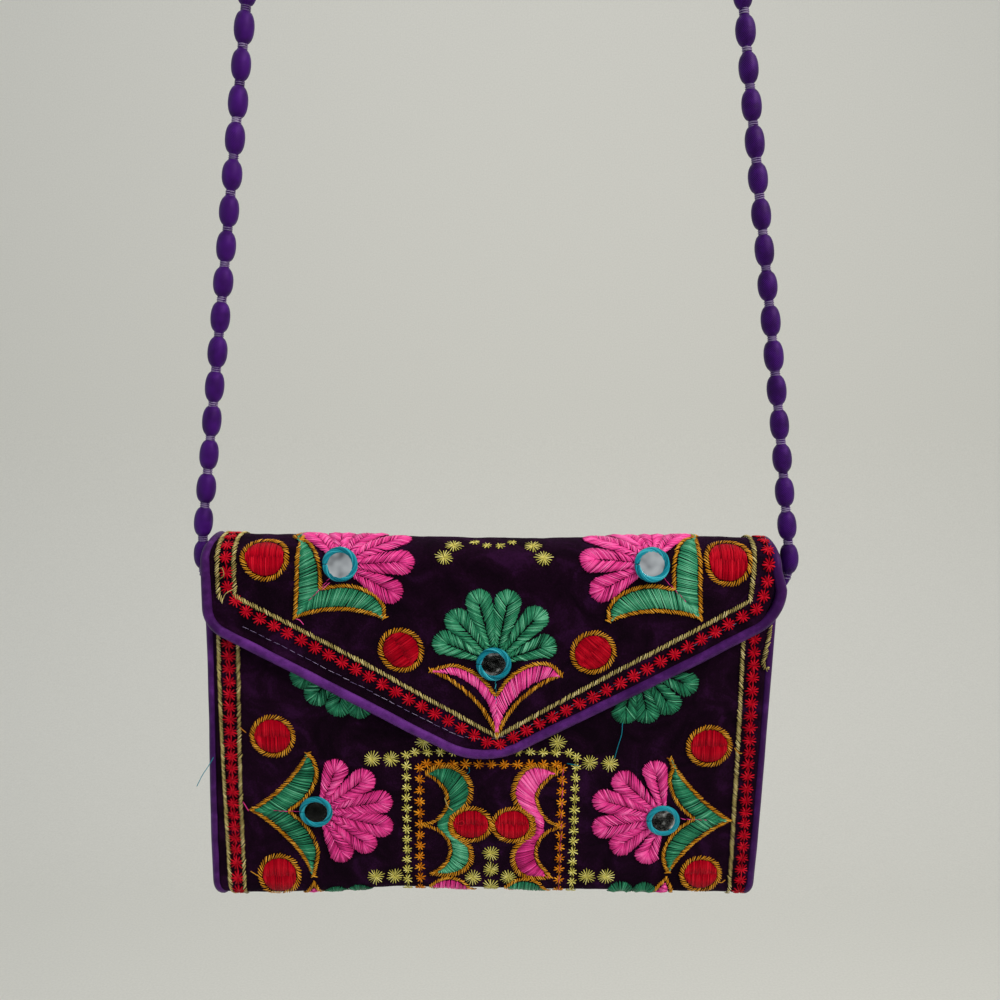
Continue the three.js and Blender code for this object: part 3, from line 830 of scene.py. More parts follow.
@dataclass
class Piping:
    """The satin-covered cord round the sheet's cut edge, with its two ends at the mouth."""

    cloth: Cloth
    diameter: float = 3.2
    # The flap's edge has two layers of satin
    flap_growth: float = 0.38
    flap_draw: float = 0.55
    gap: float = -0.15
    pitch: float = 1.2
    sides: int = 14

    def half_path(self, side: int) -> tuple[Array, Array, Array]:
        """The cord's line on one side, in the purse's own frame.

        Args:
            side: 1 on the right and -1 on the left.

        Returns:
            Its points, the cloth's normal at each, and how far each is a part of the flap's edge.
        """
        cloth = self.cloth
        s = np.linspace(0, cloth.fold_end, 320)
        edge = cloth.surface(0, s, 0)
        edge[:, 0] = cloth.flare(side * cloth.half_width(edge[:, 2]), edge[:, 2])
        normal = cloth.normal(s)
        x_end = side * (cloth.half - side * cloth.flap_shift) + cloth.flap_shift
        turn = np.linspace(math.pi / 2, 0, 160)
        flap_x = cloth.flap_shift + (x_end - cloth.flap_shift) * np.sin(turn)
        flap_z = cloth.flap_edge_z(flap_x)
        low = cloth.flap_s(flap_z)
        flap = cloth.surface(flap_x, low, 0)
        edge = np.vstack([edge, flap])
        normal = np.vstack([normal, cloth.normal(low)])
        on_flap = smoothstep(np.concatenate([s, low + 1]), cloth.fold_top, cloth.fold_end + 12)
        keep = np.concatenate([[True], np.linalg.norm(np.diff(edge, axis=0), axis=1) > 1e-4])
        edge, normal, on_flap = edge[keep], normal[keep], on_flap[keep]
        along = unit(np.gradient(edge, axis=0))
        along[-1] = (-side, 0, 0)
        out = unit(np.cross(along, normal)) * side
        away = self.diameter / 2 + self.gap - self.flap_draw * on_flap[:, None]
        return edge - out * away, normal, on_flap[:, None]

    def build(self, material: bpy.types.Material) -> bpy.types.Object:
        """Sweeps the cord round the whole edge and lets it stand for the plain one."""
        # The normals and flap shares ride along at a thousandth, so that they don't count as length
        weights = [1, 1, 1, 0.001, 0.001, 0.001, 0.001]
        right, left = (np.hstack(self.half_path(side)) * weights for side in (1, -1))
        both, _ = spaced(np.vstack([right, left[-2::-1]]), self.pitch)
        path = self.cloth.to_world(both[:, :3])
        across = self.cloth.turn_to_world(unit(both[:, 3:6]))
        thicker = 1 + self.flap_growth * both[:, 6] * 1000
        shares = np.linspace(0, 1, len(both))
        radius = self.diameter / 2 * MM
        rng = np.random.default_rng(SEED + 1)
        waves = rng.uniform(0, 2 * math.pi, 6)

        def radii(u: Array, v: Array) -> Array:
            """A round cord with slight lumps where the satin gathers."""
            lumps = sum(
                math.sin(waves[i]) * np.sin(v * (90 + 47 * i) + waves[i] + 6.28 * u) for i in range(6)
            )
            return radius * np.interp(v, shares, thicker) * (1 + 0.014 * lumps)

        piece = tube_piece("piping_cord", path, across, radii, self.sides)
        dress(piece, material)
        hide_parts("piping")
        return piece


@dataclass
class Gusset:
    """A satin strip, folded inward, that closes one side of the pocket."""

    cloth: Cloth
    side: int
    thickness: float = 0.8
    fold_share: float = 0.75
    flat_share: float = 0.25
    gap: float = 0.3
    # How far its foot reaches into the bottom fold
    tuck: float = 3.3

    def build(self, material: bpy.types.Material) -> bpy.types.Object:
        """Builds the strip with its fold and soft creases, and lets it stand for the plain one."""
        cloth = self.cloth
        front = cloth.line_s <= cloth.front_end

        def place(u: Array, v: Array) -> Array:
            """Where the grid's shares lie on the folded strip."""
            foot = cloth.bottom_z - self.tuck
            z = foot + v * (-cloth.mouth_drop - foot)
            front_y = np.interp(-z, -cloth.line[front, 1], cloth.line[front, 0])
            below = np.maximum(0, cloth.bottom_z - z) / (cloth.bottom_radius - cloth.wall)
            half = ((cloth.back_y - front_y - cloth.wall) / 2 - self.gap) * np.sqrt(1 - below**2)
            spread = 2 * u - 1
            flat = self.flat_share * 0.7
            deep = 1 - smoothstep(np.abs(spread), flat, 1.25)
            crease = 0.16 * np.sin(z * 0.42 + 3 * spread) * (1 - spread**2) + 0.1 * np.sin(z * 1.1)
            inset = self.fold_share * half * deep + crease * (1 - spread**2)
            x = cloth.flare(self.side * (cloth.half_width(z) - self.gap - np.abs(inset)), z)
            return cloth.to_world(np.stack([x, (front_y + cloth.back_y) / 2 + spread * half, z], 1))

        name = "gusset_right" if self.side > 0 else "gusset_left"
        piece = grid_piece(name + "_strip", 22, 88, place)
        uv = np.empty(len(piece.data.loops) * 2, np.float32)
        piece.data.uv_layers["UVMap"].data.foreach_get("uv", uv)
        piece.data.uv_layers["UVMap"].data.foreach_set("uv", (uv.reshape(-1, 2) * [0.03, 0.136]).ravel())
        face_towards(piece, (self.side, 0, 0))
        thicken(piece, self.thickness)
        dress(piece, material)
        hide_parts(name)
        return piece


@dataclass
class BeadStrand:
    """Half the strap: cloth sewn over oval beads and bound off between them."""

    cloth: Cloth
    side: int
    beads: int = 42
    pitch: float = 13.5
    bead_length: float = 11.4
    bead_diameter: float = 7.7
    neck_diameter: float = 3.3
    loop_radius: float = 64.0
    meeting_gap: float = 0.3
    tail: float = 7.0
    standoff: float = 6.0
    rows_per_bead: int = 20
    sides: int = 24

    def __post_init__(self) -> None:
        """Finds the strand's lean, so that it reaches the purse's side."""
        self.length = self.beads * self.pitch
        self.foot_x = self.cloth.half + self.standoff
        low, high = 0.0, math.pi / 4
        for _ in range(60):
            lean = (low + high) / 2
            straight = self.length - self.loop_radius * (math.pi / 2 - lean)
            reach = self.loop_radius * math.cos(lean) + straight * math.sin(lean)
            low, high = (lean, high) if reach < self.foot_x else (low, lean)
        self.lean = low
        self.centre_z = self.bead_diameter / 2 - self.loop_radius
        self.arc = self.loop_radius * (math.pi / 2 - self.lean)
        straight = (self.length - self.arc) * math.cos(self.lean)
        self.foot_z = self.centre_z + self.loop_radius * math.sin(self.lean) - straight

    def path(self, distance: Array) -> Array:
        """Points on the strand, at distances from the loop's middle."""
        angle = math.pi / 2 - distance / self.loop_radius
        round_x = self.loop_radius * np.cos(angle)
        round_z = self.centre_z + self.loop_radius * np.sin(angle)
        back = self.length - distance
        straight_x = self.foot_x - back * math.sin(self.lean)
        straight_z = self.foot_z + back * math.cos(self.lean)
        share = np.clip((distance - self.length) / self.tail, 0, 1)
        low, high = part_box("gusset_right")
        tail_x = (low[0] + (high[0] - low[0]) * 0.35) / MM
        end_x = (1 - share) ** 2 * self.foot_x + 2 * share * (1 - share) * self.foot_x + share**2 * tail_x
        end_z = self.foot_z - self.tail * (2 * share * (1 - share) + share**2)
        x = np.where(distance < self.arc, round_x, np.where(distance < self.length, straight_x, end_x))
        from_foot = self.length - distance
        # How far the strand bows out, where over its foot that is whole, and where it ends
        bow, whole, easing, straight = (2.1, 20, 260, 480) if self.side < 0 else (2.6, 8, 30, 230)
        spread = bow * smoothstep(from_foot, -self.tail, whole)
        x = x + spread * (1 - smoothstep(from_foot, easing, straight))
        z = np.where(distance < self.arc, round_z, np.where(distance < self.length, straight_z, end_z))
        return np.stack([self.side * x, np.zeros_like(x), z], 1)

    def build(self, cover: bpy.types.Material, binding: bpy.types.Material) -> bpy.types.Object:
        """Sweeps the covered beads, binds their necks and lets them stand for the plain strand."""
        start = self.meeting_gap / 2
        end = self.length + self.tail
        rows = round((end - start) / self.pitch * self.rows_per_bead)
        distance = np.linspace(start, end, rows + 1)
        path = self.path(distance) * MM
        across = np.tile([0.0, 1.0, 0.0], (len(path), 1))
        rng = np.random.default_rng(SEED + 5 + self.side)
        plump = rng.uniform(0.955, 1.0, self.beads + 2)
        longer = rng.uniform(0.94, 1.03, self.beads + 2)
        phase = rng.uniform(0, 2 * math.pi, self.beads + 2)
        neck, bead = self.neck_diameter / 2, self.bead_diameter / 2

        def radii(u: Array, v: Array) -> Array:
            """Oval beads, with the cloth's gathers running in to each neck."""
            at = start + v * (end - start)
            number = np.clip((at / self.pitch).astype(int), 0, self.beads)
            apart = np.abs(at / self.pitch - number - 0.5) * 2 * self.pitch
            along = apart / (self.bead_length * longer[number])
            swell = np.where(number < self.beads, np.clip(1 - along**2.2, 0, 1) ** 0.62, 0)
            round_u = 2 * math.pi * u
            gathers = np.sin(9 * round_u + phase[number]) + 0.6 * np.sin(14 * round_u + 2 * phase[number])
            ribs = 0.05 * gathers * smoothstep(along, 0.35, 0.95) * (swell + 0.25)
            return (neck + (bead * plump[number] - neck) * swell + ribs) * MM

        name = "strap_right" if self.side > 0 else "strap_left"
        piece = tube_piece(name + "_beads", path, across, radii, self.sides)
        dress(piece, cover)
        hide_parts(name)
        self._bind(name + "_binding", binding, rng)
        return piece

    def _bind(self, name: str, material: bpy.types.Material, rng: np.random.Generator) -> None:
        """Winds thread round each neck, there and back, so that the turns cross."""
        turns, steps = 2.6, 34
        lines = []
        for number in range(1, self.beads + 1):
            for way in (-1, 1):
                t = np.linspace(0, 1, steps)
                at = number * self.pitch + way * (t - 0.5) * 2.1 + rng.uniform(-0.1, 0.1)
                ends = self.path(np.array([number * self.pitch - 0.1, number * self.pitch + 0.1]))
                along = unit(ends[1] - ends[0])
                out = np.array([0.0, 1.0, 0.0])
                side = np.cross(along, out)
                angle = (t * turns * 2 * math.pi + rng.uniform(0, 6.28))[:, None]
                radius = self.neck_diameter / 2 + 0.16
                lines.append((self.path(at) + radius * (np.cos(angle) * out + np.sin(angle) * side)) * MM)
        piece = threads(name, lines, 0.17 * MM, 4, rng)
        dress(piece, material)


def threads(
    name: str, lines: Sequence[Array], radius: float, sides: int, rng: np.random.Generator
) -> bpy.types.Object:
    """Makes many thin threads as one joined mesh.

    Args:
        name: The piece's name.
        lines: Each thread's points in metres.
        radius: Of each thread, in metres.
        sides: Faces round each thread.
        rng: Gives each thread its tone.

    Returns:
        The joined object. Each thread ends in a point.
    """
    points, faces, uv, tones = [], [], [], []
    first = 0
    for line in lines:
        along = unit(np.gradient(line, axis=0))
        helper = np.where(np.abs(along[:, 1:2]) < 0.8, [[0.0, 1.0, 0.0]], [[1.0, 0.0, 0.0]])
        side = unit(np.cross(along, helper))
        up = np.cross(side, along)
        count = len(line)
        taper = np.ones(count)
        taper[[0, -1]] = 0.15
        angle = np.linspace(0, 2 * math.pi, sides, endpoint=False)
        ring = np.cos(angle)[None, :, None] * side[:, None] + np.sin(angle)[None, :, None] * up[:, None]
        body = line[:, None] + radius * taper[:, None, None] * ring
        points.append(body.reshape(-1, 3))
        run = np.concatenate([[0], np.cumsum(np.linalg.norm(np.diff(line, axis=0), axis=1))])
        around = np.tile(angle / (2 * math.pi) * 2 * math.pi * radius, count)
        uv.append(np.stack([np.repeat(run, sides), around], 1))
        tones.append(np.full(count * sides, np.clip(rng.normal(0.5, 0.14), 0, 1)))
        i = np.arange(count - 1)[:, None] * sides
        j = np.arange(sides)[None]
        k = (j + 1) % sides
        quads = np.stack([i + j, i + sides + j, i + sides + k, i + k], -1).reshape(-1, 4)
        caps = [list(range(sides)), [(count - 1) * sides + n for n in range(sides)][::-1]]
        faces.extend((quads + first).tolist())
        faces.extend([[n + first for n in cap] for cap in caps])
        first += count * sides
    mesh = bpy.data.meshes.new(name)
    mesh.from_pydata(np.vstack(points).tolist(), [], faces)
    piece = bpy.data.objects.new(name, mesh)
    bpy.context.scene.collection.objects.link(piece)
    set_uv(mesh, np.vstack(uv))
    tone = mesh.attributes.new("tone", "FLOAT", "POINT")
    tone.data.foreach_set("value", np.concatenate(tones).astype(np.float32))
    mesh.shade_smooth()
    weld(piece, 0.0001)
    return piece


class Needle:
    """Collects stitches on the cloth and makes each group of one colour a joined mesh."""

    # Shares along a stitch where its sections lie
    STATIONS = np.array([0.0, 0.09, 0.5, 0.91, 1.0])

    def __init__(self, cloth: Cloth, seed: int) -> None:
        """Starts with no stitches."""
        self.cloth = cloth
        self.rng = np.random.default_rng(seed)
        self.groups: dict[tuple[str, Colour], list[Array]] = {}

    def sew(
        self, group: str, colour: Colour, start: Array, end: Array,
        width: float = 0.5, arch: float = 0.3, tone: float = 0.5, loose: float = 0.1, lift: float = 0.0,
    ) -> None:
        """Adds stitches.

        Args:
            group: The part of the embroidery that they belong to.
            colour: Their thread.
            start: (x, s) of each stitch's start, one a row.
            end: (x, s) of each stitch's end.
            width: The thread's width.
            arch: How high a stitch's middle stands over its ends.
            tone: Their middle tone, from 0 to 1.
            loose: How far the ends wander.
            lift: How far they lie over the cloth or over other stitches.
        """
        start, end = np.atleast_2d(np.asarray(start, float)), np.atleast_2d(np.asarray(end, float))
        count = len(start)
        if not count:
            return
        start = start + self.rng.normal(0, loose, start.shape)
        end = end + self.rng.normal(0, loose, end.shape)
        row = np.zeros((count, 8))
        row[:, 0:2], row[:, 2:4] = start, end
        row[:, 4] = width * self.rng.uniform(0.86, 1.12, count)
        row[:, 5] = arch * self.rng.uniform(0.8, 1.2, count)
        row[:, 6] = np.clip(tone + self.rng.normal(0, 0.19, count), 0, 1)
        row[:, 7] = lift + self.rng.uniform(0, 0.08, count)
        self.groups.setdefault((group, colour), []).append(row)

    def finish(self, materials: dict[Colour, bpy.types.Material]) -> None:
        """Makes the meshes of all groups."""
        for (group, colour), rows in self.groups.items():
            piece = self._mesh(f"{group}_{colour.name.lower()}", np.vstack(rows))
            dress(piece, materials[colour])

    def _mesh(self, name: str, rows: Array) -> bpy.types.Object:
        """Makes one group's stitches: a diamond section, drawn to a point at both ends, with painted shade
        towards the ends.
        """
        t = self.STATIONS[None, :]
        x = rows[:, 0:1] * (1 - t) + rows[:, 2:3] * t
        s = rows[:, 1:2] * (1 - t) + rows[:, 3:4] * t
        lift = 1.0 + rows[:, 7:8] + 0.12 + rows[:, 5:6] * 4 * t * (1 - t)
        z = np.interp(s, self.cloth.line_s, self.cloth.line[:, 1])
        room = self.cloth.half_width(z) - 1.0
        x = np.clip(x, -room, room)
        centre = self.cloth.surface(x, s, lift)
        up = self.cloth.normal(s)
        along = unit(np.gradient(centre, axis=1))
        side = unit(np.cross(along, up))
        half = (rows[:, 4] / 2)[:, None, None]
        body = centre[:, 1:4]
        ring = np.stack([
            body + half * side[:, 1:4], body + 0.75 * half * up[:, 1:4],
            body - half * side[:, 1:4], body - 0.75 * half * up[:, 1:4],
        ], 2)
        count = len(rows)
        points = np.concatenate([centre[:, 0:1], ring.reshape(count, 12, 3), centre[:, 4:5]], 1)
        tips = [(0, 1 + (k + 1) % 4, 1 + k) for k in range(4)]
        tips += [(13, 9 + k, 9 + (k + 1) % 4) for k in range(4)]
        walls = []
        for section in (1, 5):
            for k in range(4):
                a, b = section + k, section + (k + 1) % 4
                walls += [(a, b, b + 4), (a, b + 4, a + 4)]
        cell = np.array(tips + walls)
        faces = (cell[None] + 14 * np.arange(count)[:, None, None]).reshape(-1, 3)
        length = np.linalg.norm(rows[:, 2:4] - rows[:, 0:2], axis=1) * MM
        run = np.concatenate([[0], np.repeat(self.STATIONS[1:4], 4), [1]])
        girth = np.concatenate([[0.5], np.tile([0, 0.25, 0.5, 0.75], 3), [0.5]])
        offset = self.rng.uniform(0, 1, count)[:, None]
        uv = np.stack([run[None] * length[:, None] + offset, girth[None] * rows[:, 4:5] * 3.1 * MM], -1)
        # Painted shade and highlight: each stitch's tone is darker towards its ends, where it sinks into
        # the cloth, and lighter at its crown
        painted_end_shade = np.concatenate([[-0.3], np.repeat([-0.14, 0.09, -0.14], 4), [-0.3]])
        tone = np.clip(rows[:, 6:7] + painted_end_shade[None], 0, 1)
        world = self.cloth.to_world(points.reshape(-1, 3))
        return make_mesh(name, world, faces, uv.reshape(-1, 2), tone.ravel())


@dataclass(frozen=True)
class Petal:
    """One petal of a flower: the way it points, in degrees from right towards up, and its length."""

    angle: float
    length: float
    tone: float = 0.5


class Embroidery:
    """All stitched motifs, laid out on the flat cloth."""

    SATIN_PITCH = 0.4
    RING_REACH = 6.0

    def __init__(self, cloth: Cloth) -> None:
        """Starts with a needle on the cloth."""
        self.cloth = cloth
        self.needle = Needle(cloth, SEED + 10)

    def petal(
        self, group: str, colour: Colour, centre: Array, petal: Petal, width: float = 10.5,
        spread: float = 0.25, seam: float = -0.12,
    ) -> None:
        """Sews a petal in two halves of slanted satin stitches that fan round its tip.

        Args:
            group: The part of the embroidery.
            colour: The thread.
            centre: The flower's middle.
            petal: The petal's way, length and tone.
            width: Its greatest width.
            spread: How fast half its width grows with the distance from the middle.
            seam: Half the gap between its two halves.
        """
        forward = np.array([math.cos(degrees(petal.angle)), -math.sin(degrees(petal.angle))])
        across = np.array([-forward[1], forward[0]])
        round_half = width / 2
        shoulder = petal.length - round_half
        base = self.RING_REACH - 1.5

        def half_at(d: Array) -> Array:
            """Half the petal's width at a distance from the mirror."""
            wide = spread * d + 0.1
            grown = -np.log(np.exp(-1.6 * wide) + np.exp(-1.6 * round_half)) / 1.6
            tip = np.sqrt(np.maximum(0, round_half**2 - np.maximum(0, d - shoulder) ** 2))
            return np.where(d > shoulder, tip, grown)

        slant = degrees(47)
        last = shoulder - 0.6
        starts = np.arange(base, last, self.SATIN_PITCH / math.sin(slant))
        angles = np.full(len(starts), slant)
        fan = np.arange(slant, -1e-6, -self.SATIN_PITCH / round_half)
        starts = np.concatenate([starts, np.full(len(fan), last)])
        angles = np.concatenate([angles, fan])
        reach = np.full(len(starts), 3.0)
        for _ in range(30):
            out = np.maximum(half_at(starts + reach * np.cos(angles)), 0.05)
            on_side = out / np.maximum(np.sin(angles), 0.12)
            over = np.hypot(starts + reach * np.cos(angles) - shoulder, reach * np.sin(angles)) - round_half
            beyond = starts + reach * np.cos(angles) > shoulder
            reach = np.where(beyond, reach - over * 0.7, 0.5 * (reach + on_side))
        reach = reach + 0.42
        for side in (-1, 1):
            apart = seam * side * smoothstep(angles, 0.1, 0.5)
            a = centre + starts[:, None] * forward + apart[:, None] * across
            d = starts + reach * np.cos(angles)
            b = centre + d[:, None] * forward + (side * reach * np.sin(angles))[:, None] * across
            self.needle.sew(group, colour, a, b, 0.47, 0.6, petal.tone, 0.15)

    def leaf_curves(
        self, mirror: Array, vertex: Array, tip: Array, bow: float
    ) -> tuple[Array, Array, Array]:
        """The outer and inner edges of one leaf of a flower's cup.

        Args:
            mirror: The flower's middle.
            vertex: The point where the cup's two leaves meet.
            tip: The leaf's tip.
            bow: How far the outer edge bends in, at its middle.

        Returns:
            The outer edge from the vertex to the tip, the inner edge from the notch to the tip,
            and the cup's middle line from the vertex to the notch.
        """
        axis = unit(mirror - vertex)
        across = np.array([-axis[1], axis[0]])
        side = np.sign((tip - mirror) @ across)
        stretch = abs((tip - mirror) @ across) / 24.0
        far = np.linalg.norm(mirror - vertex) / 29.5

        def at(u: float, w: float) -> Array:
            """A place in the cup's own frame."""
            return mirror + axis * u * far + across * side * w * stretch

        chord = unit(tip - vertex)
        inward = np.array([-chord[1], chord[0]])
        inward = inward * np.sign((mirror - vertex) @ inward)
        control = (vertex + tip) / 2 + inward * 2 * bow
        t = np.linspace(0, 1, 40)[:, None]
        outer = (1 - t) ** 2 * vertex + 2 * t * (1 - t) * control + t**2 * tip
        inner = curve_through([
            at(-12.7, 0), at(-6.6, 4.3), at(-2.5, 9.4), at(-0.4, 15.5), at(-1.4, 20.6), tip,
        ])
        middle = np.linspace(vertex, at(-12.7, 0), 12)
        return outer, inner, middle

    def fill(
        self, group: str, colour: Colour, one: Array, other: Array, slant: float = 0.06,
        inset: float = 0.95, tone: float = 0.5, pitch: float = 0.5,
    ) -> None:
        """Fills the space between two edges with satin stitches from one to the other.

        Args:
            group: The part of the embroidery.
            colour: The thread.
            one: The first edge's points.
            other: The second edge's points, running the same way.
            slant: How far the second end runs ahead, as a share of the edge.
            inset: How far the stitches stop short of each edge.
            tone: Their middle tone.
            pitch: The distance between two stitches.
        """
        steps = max(3, int(np.linalg.norm(np.diff(one, axis=0), axis=1).sum() / pitch))
        share = np.linspace(0, 1, steps)
        a, b = picked(one, share), picked(other, np.clip(share + slant, 0, 1))
        length = np.linalg.norm(b - a, axis=1)
        keep = length > 2 * inset + 0.5
        way = unit(b - a) * inset
        a, b = (a + way)[keep], (b - way)[keep]
        long = np.linalg.norm(b - a, axis=1) > 11.5
        middle = a + (b - a) * self.needle.rng.uniform(0.42, 0.58, (len(a), 1))
        self.needle.sew(group, colour, a[~long], b[~long], 0.55, 0.5, tone, 0.16)
        self.needle.sew(group, colour, a[long], middle[long], 0.55, 0.35, tone, 0.16)
        self.needle.sew(group, colour, middle[long], b[long], 0.55, 0.35, tone, 0.16)

    def whip(
        self, group: str, colour: Colour, line: Array, slant: float, length: float = 3.0,
        pitch: float = 1.07, width: float = 0.6, offset: float = 0.0, tone: float = 0.5,
    ) -> None:
        """Sews slanted dashes along a line, as an outline or a rope.

        Args:
            group: The part of the embroidery.
            colour: The thread.
            line: The line's points.
            slant: The dashes' turn from the line in degrees, clockwise.
            length: Of each dash.
            pitch: The distance between two dashes.
            width: The thread's width.
            offset: How far the dashes lie beside the line.
            tone: Their middle tone.
        """
        points, along = spaced(np.asarray(line, float), pitch)
        points = points + offset * turned(along, math.pi / 2)
        way = turned(along, degrees(slant)) * length / 2
        self.needle.sew(group, colour, points - way, points + way, width, 0.34, tone, 0.13, 0.12)

    def cup(self, group: str, flower: "Flower") -> None:
        """Sews the two pointed leaves that hold a flower."""
        mirror, vertex = np.array(flower.mirror), np.array(flower.vertex)
        fill, tone = flower.cup_colour, flower.cup_tone
        axis = unit(mirror - vertex)
        across = np.array([-axis[1], axis[0]])
        for tip, bow, slack in zip(np.array(flower.tips), flower.bows, flower.slack):
            outer, inner, middle = self.leaf_curves(mirror, vertex, tip, bow)
            side = np.sign((tip - mirror) @ across)
            share = np.linspace(0, 1, 40)
            edge = np.vstack([middle - across * side * 0.75, inner[1:]])
            gap = (slack * np.sin(math.pi * share) ** 0.7)[:, None]
            near = picked(outer, share) * (1 - gap) + picked(edge, share) * gap
            self.fill(group, fill, near, edge, 0.09, tone=tone)
            self.whip(group, Colour.GOLD, outer, -side * 42, 2.7, 0.98, 0.46, offset=side * -0.3)
            self.whip(group, Colour.GOLD, inner, side * 42, 2.5, 0.98, 0.46, offset=side * 0.25)
        vein = np.linspace(vertex + axis * 10, mirror - axis * 7.5, 20)
        self.whip(group, flower.vein, vein, 8, 2.6, 2.3, 0.26, tone=0.36)

    def disc(
        self, group: str, centre: Sequence[float], width: float, height: float, turn: float = 0.0,
    ) -> None:
        """Sews a red disc of two rows of satin with a seam between, and its gold whipped rim."""
        centre = np.array(centre)
        x = np.arange(-width / 2 + 0.2, width / 2 - 0.1, 0.47)
        chord = height / 2 * np.sqrt(np.maximum(0, 1 - (2 * x / width) ** 2))
        wander = self.needle.rng.uniform(-1.0, 1.0, len(x))
        for side in (-1, 1):
            a = np.stack([x, wander * 0.6 - 0.75 * side], 1)
            b = np.stack([x + 0.12 * side, side * (chord + 0.3)], 1)
            a, b = turned(a, degrees(turn)), turned(b, degrees(turn))
            self.needle.sew(group, Colour.RED, centre + a, centre + b, 0.56, 0.4, 0.5, 0.07)
        angle = np.linspace(0, 2 * math.pi, 73)
        grow = 1.15
        rim = np.stack([np.cos(angle) * (width / 2 + grow), np.sin(angle) * (height / 2 + grow)], 1)
        self.whip(group, Colour.GOLD, centre + turned(rim, degrees(turn)), -50, 2.8, 1.04, 0.46)

    def star(
        self, group: str, colour: Colour, centre: Sequence[float], diameter: float, spokes: int = 8,
        width: float = 0.5, tone: float = 0.55,
    ) -> None:
        """Sews a star of spokes that all start at its middle."""
        turn = self.needle.rng.uniform(-0.12, 0.12)
        angle = np.arange(spokes) * 2 * math.pi / spokes + turn + math.pi / spokes
        reach = diameter / 2 * self.needle.rng.uniform(0.84, 1.08, spokes)
        end = np.array(centre) + np.stack([np.cos(angle) * reach, np.sin(angle) * reach], 1)
        start = np.tile(np.array(centre, float), (spokes, 1))
        self.needle.sew(group, colour, start, end, width, 0.18, tone, 0.1, 0.1)

    def star_row(
        self, group: str, colour: Colour, line: Sequence[Sequence[float]], pitch: float, diameter: float,
        width: float = 0.5, tone: float = 0.55, spokes: int = 8, smooth: bool = True,
    ) -> None:
        """Sews stars along a line, with the thread that runs on from one to the next."""
        path = curve_through(line) if smooth else np.array(line, float)
        points, _ = spaced(path, pitch)
        for point in points:
            self.star(group, colour, point, diameter, spokes, width, tone)
        self.needle.sew(group, colour, points[:-1], points[1:], 0.24, 0.05, tone - 0.35, 0.1, 0.05)

    def ring(self, name: str, node: str, place: tuple[float, float], material: bpy.types.Material) -> None:
        """Winds the thread ring that holds a mirror, with a rope of strands round its rim."""
        low, high = (np.array(corner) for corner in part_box(node))
        centre = (low + high) / 2
        normal = self.cloth.turn_to_world(self.cloth.normal(np.array(place[1])))
        right = unit(np.cross(normal, [0.0, 0.0, 1.0]))
        down = np.cross(right, normal)
        strands, winds, steps = 9, 2, 90
        rng = np.random.default_rng(SEED + int(abs(place[0])))
        turn = np.linspace(0, 2 * math.pi, steps)
        lines = []
        for strand in range(strands):
            phase = 2 * math.pi * strand / strands + rng.uniform(-0.15, 0.15)
            lean = winds * turn + phase
            reach = (5.72 + 0.82 * np.cos(lean) + 0.05 * rng.normal()) * MM
            height = (0.1 + 0.62 * np.sin(lean)) * MM
            lines.append(
                centre + np.cos(turn)[:, None] * reach[:, None] * right
                + np.sin(turn)[:, None] * reach[:, None] * down + height[:, None] * normal
            )
        piece = threads(name, lines, 0.36 * MM, 6, rng)
        dress(piece, material)


@dataclass(frozen=True)
class Flower:
    """A flower of petals round a mirror, held in a cup of two leaves."""

    node: str
    mirror: tuple[float, float]
    vertex: tuple[float, float]
    tips: tuple[tuple[float, float], tuple[float, float]]
    petals: tuple[Petal, ...]
    petal_colour: Colour
    cup_colour: Colour
    cup_tone: float = 0.5
    # How far each leaf's outer edge bends in, and the share of the leaf left bare beside it
    bows: tuple[float, float] = (2.2, 2.6)
    slack: tuple[float, float] = (0.0, 0.0)
    vein: Colour = Colour.PINK


FLOWERS = (
    Flower(
        "mirror_flap_left", (-59.1, 328.5), (-77.6, 350.0), ((-75.6, 304.0), (-42.3, 349.6)),
        (
            Petal(-28, 26.2, 0.42), Petal(124.5, 28.5, 0.56), Petal(4.5, 28.2, 0.48),
            Petal(95.5, 29.5, 0.56), Petal(35.5, 31.0, 0.5), Petal(65.5, 31.5, 0.55),
        ),
        Colour.PINK, Colour.GREEN, 0.5, (0.3, 3.4),
    ),
    Flower(
        "mirror_flap_right", (60.6, 326.3), (80.6, 347.4), ((78.6, 303.0), (44.6, 349.0)),
        (
            Petal(208, 26.2, 0.5), Petal(55.5, 28.5, 0.6), Petal(175.5, 27.8, 0.56),
            Petal(84.5, 29.5, 0.62), Petal(144.5, 30.5, 0.6), Petal(114.5, 31.5, 0.62),
        ),
        Colour.PINK, Colour.GREEN, 0.62, (0.2, 3.4),
    ),
    Flower(
        "mirror_flap_centre", (0.8, 367.1), (2.1, 398.4), ((-24.7, 370.5), (27.3, 371.6)),
        (
            Petal(158, 26.0), Petal(20.5, 25.2), Petal(131, 27.4), Petal(50.5, 29.0), Petal(105, 30.6),
            Petal(79.5, 30.2),
        ),
        Colour.GREEN, Colour.PINK, 0.6, (4.0, 4.0), (0.36, 0.14), Colour.TURQUOISE,
    ),
    Flower(
        "mirror_front_left", (-70.6, 105.3), (-98.5, 104.9), ((-74.3, 78.7), (-73.5, 134.1)),
        (
            Petal(69, 25.2, 0.46), Petal(-64.5, 25.2, 0.4), Petal(38.5, 28.6, 0.48), Petal(-37, 28.4, 0.4),
            Petal(11.5, 30.8, 0.45), Petal(-13, 31.2, 0.4),
        ),
        Colour.PINK, Colour.GREEN, 0.34,
    ),
    Flower(
        "mirror_front_right", (71.9, 105.8), (98.7, 106.3), ((72.4, 78.7), (74.6, 131.3)),
        (
            Petal(104, 26.4, 0.55), Petal(249, 22.8, 0.55), Petal(138, 28.6, 0.52),
            Petal(216.5, 26.4, 0.48), Petal(164.3, 31.0, 0.5), Petal(191.5, 30.2, 0.46),
        ),
        Colour.PINK, Colour.GREEN, 0.4,
    ),
)


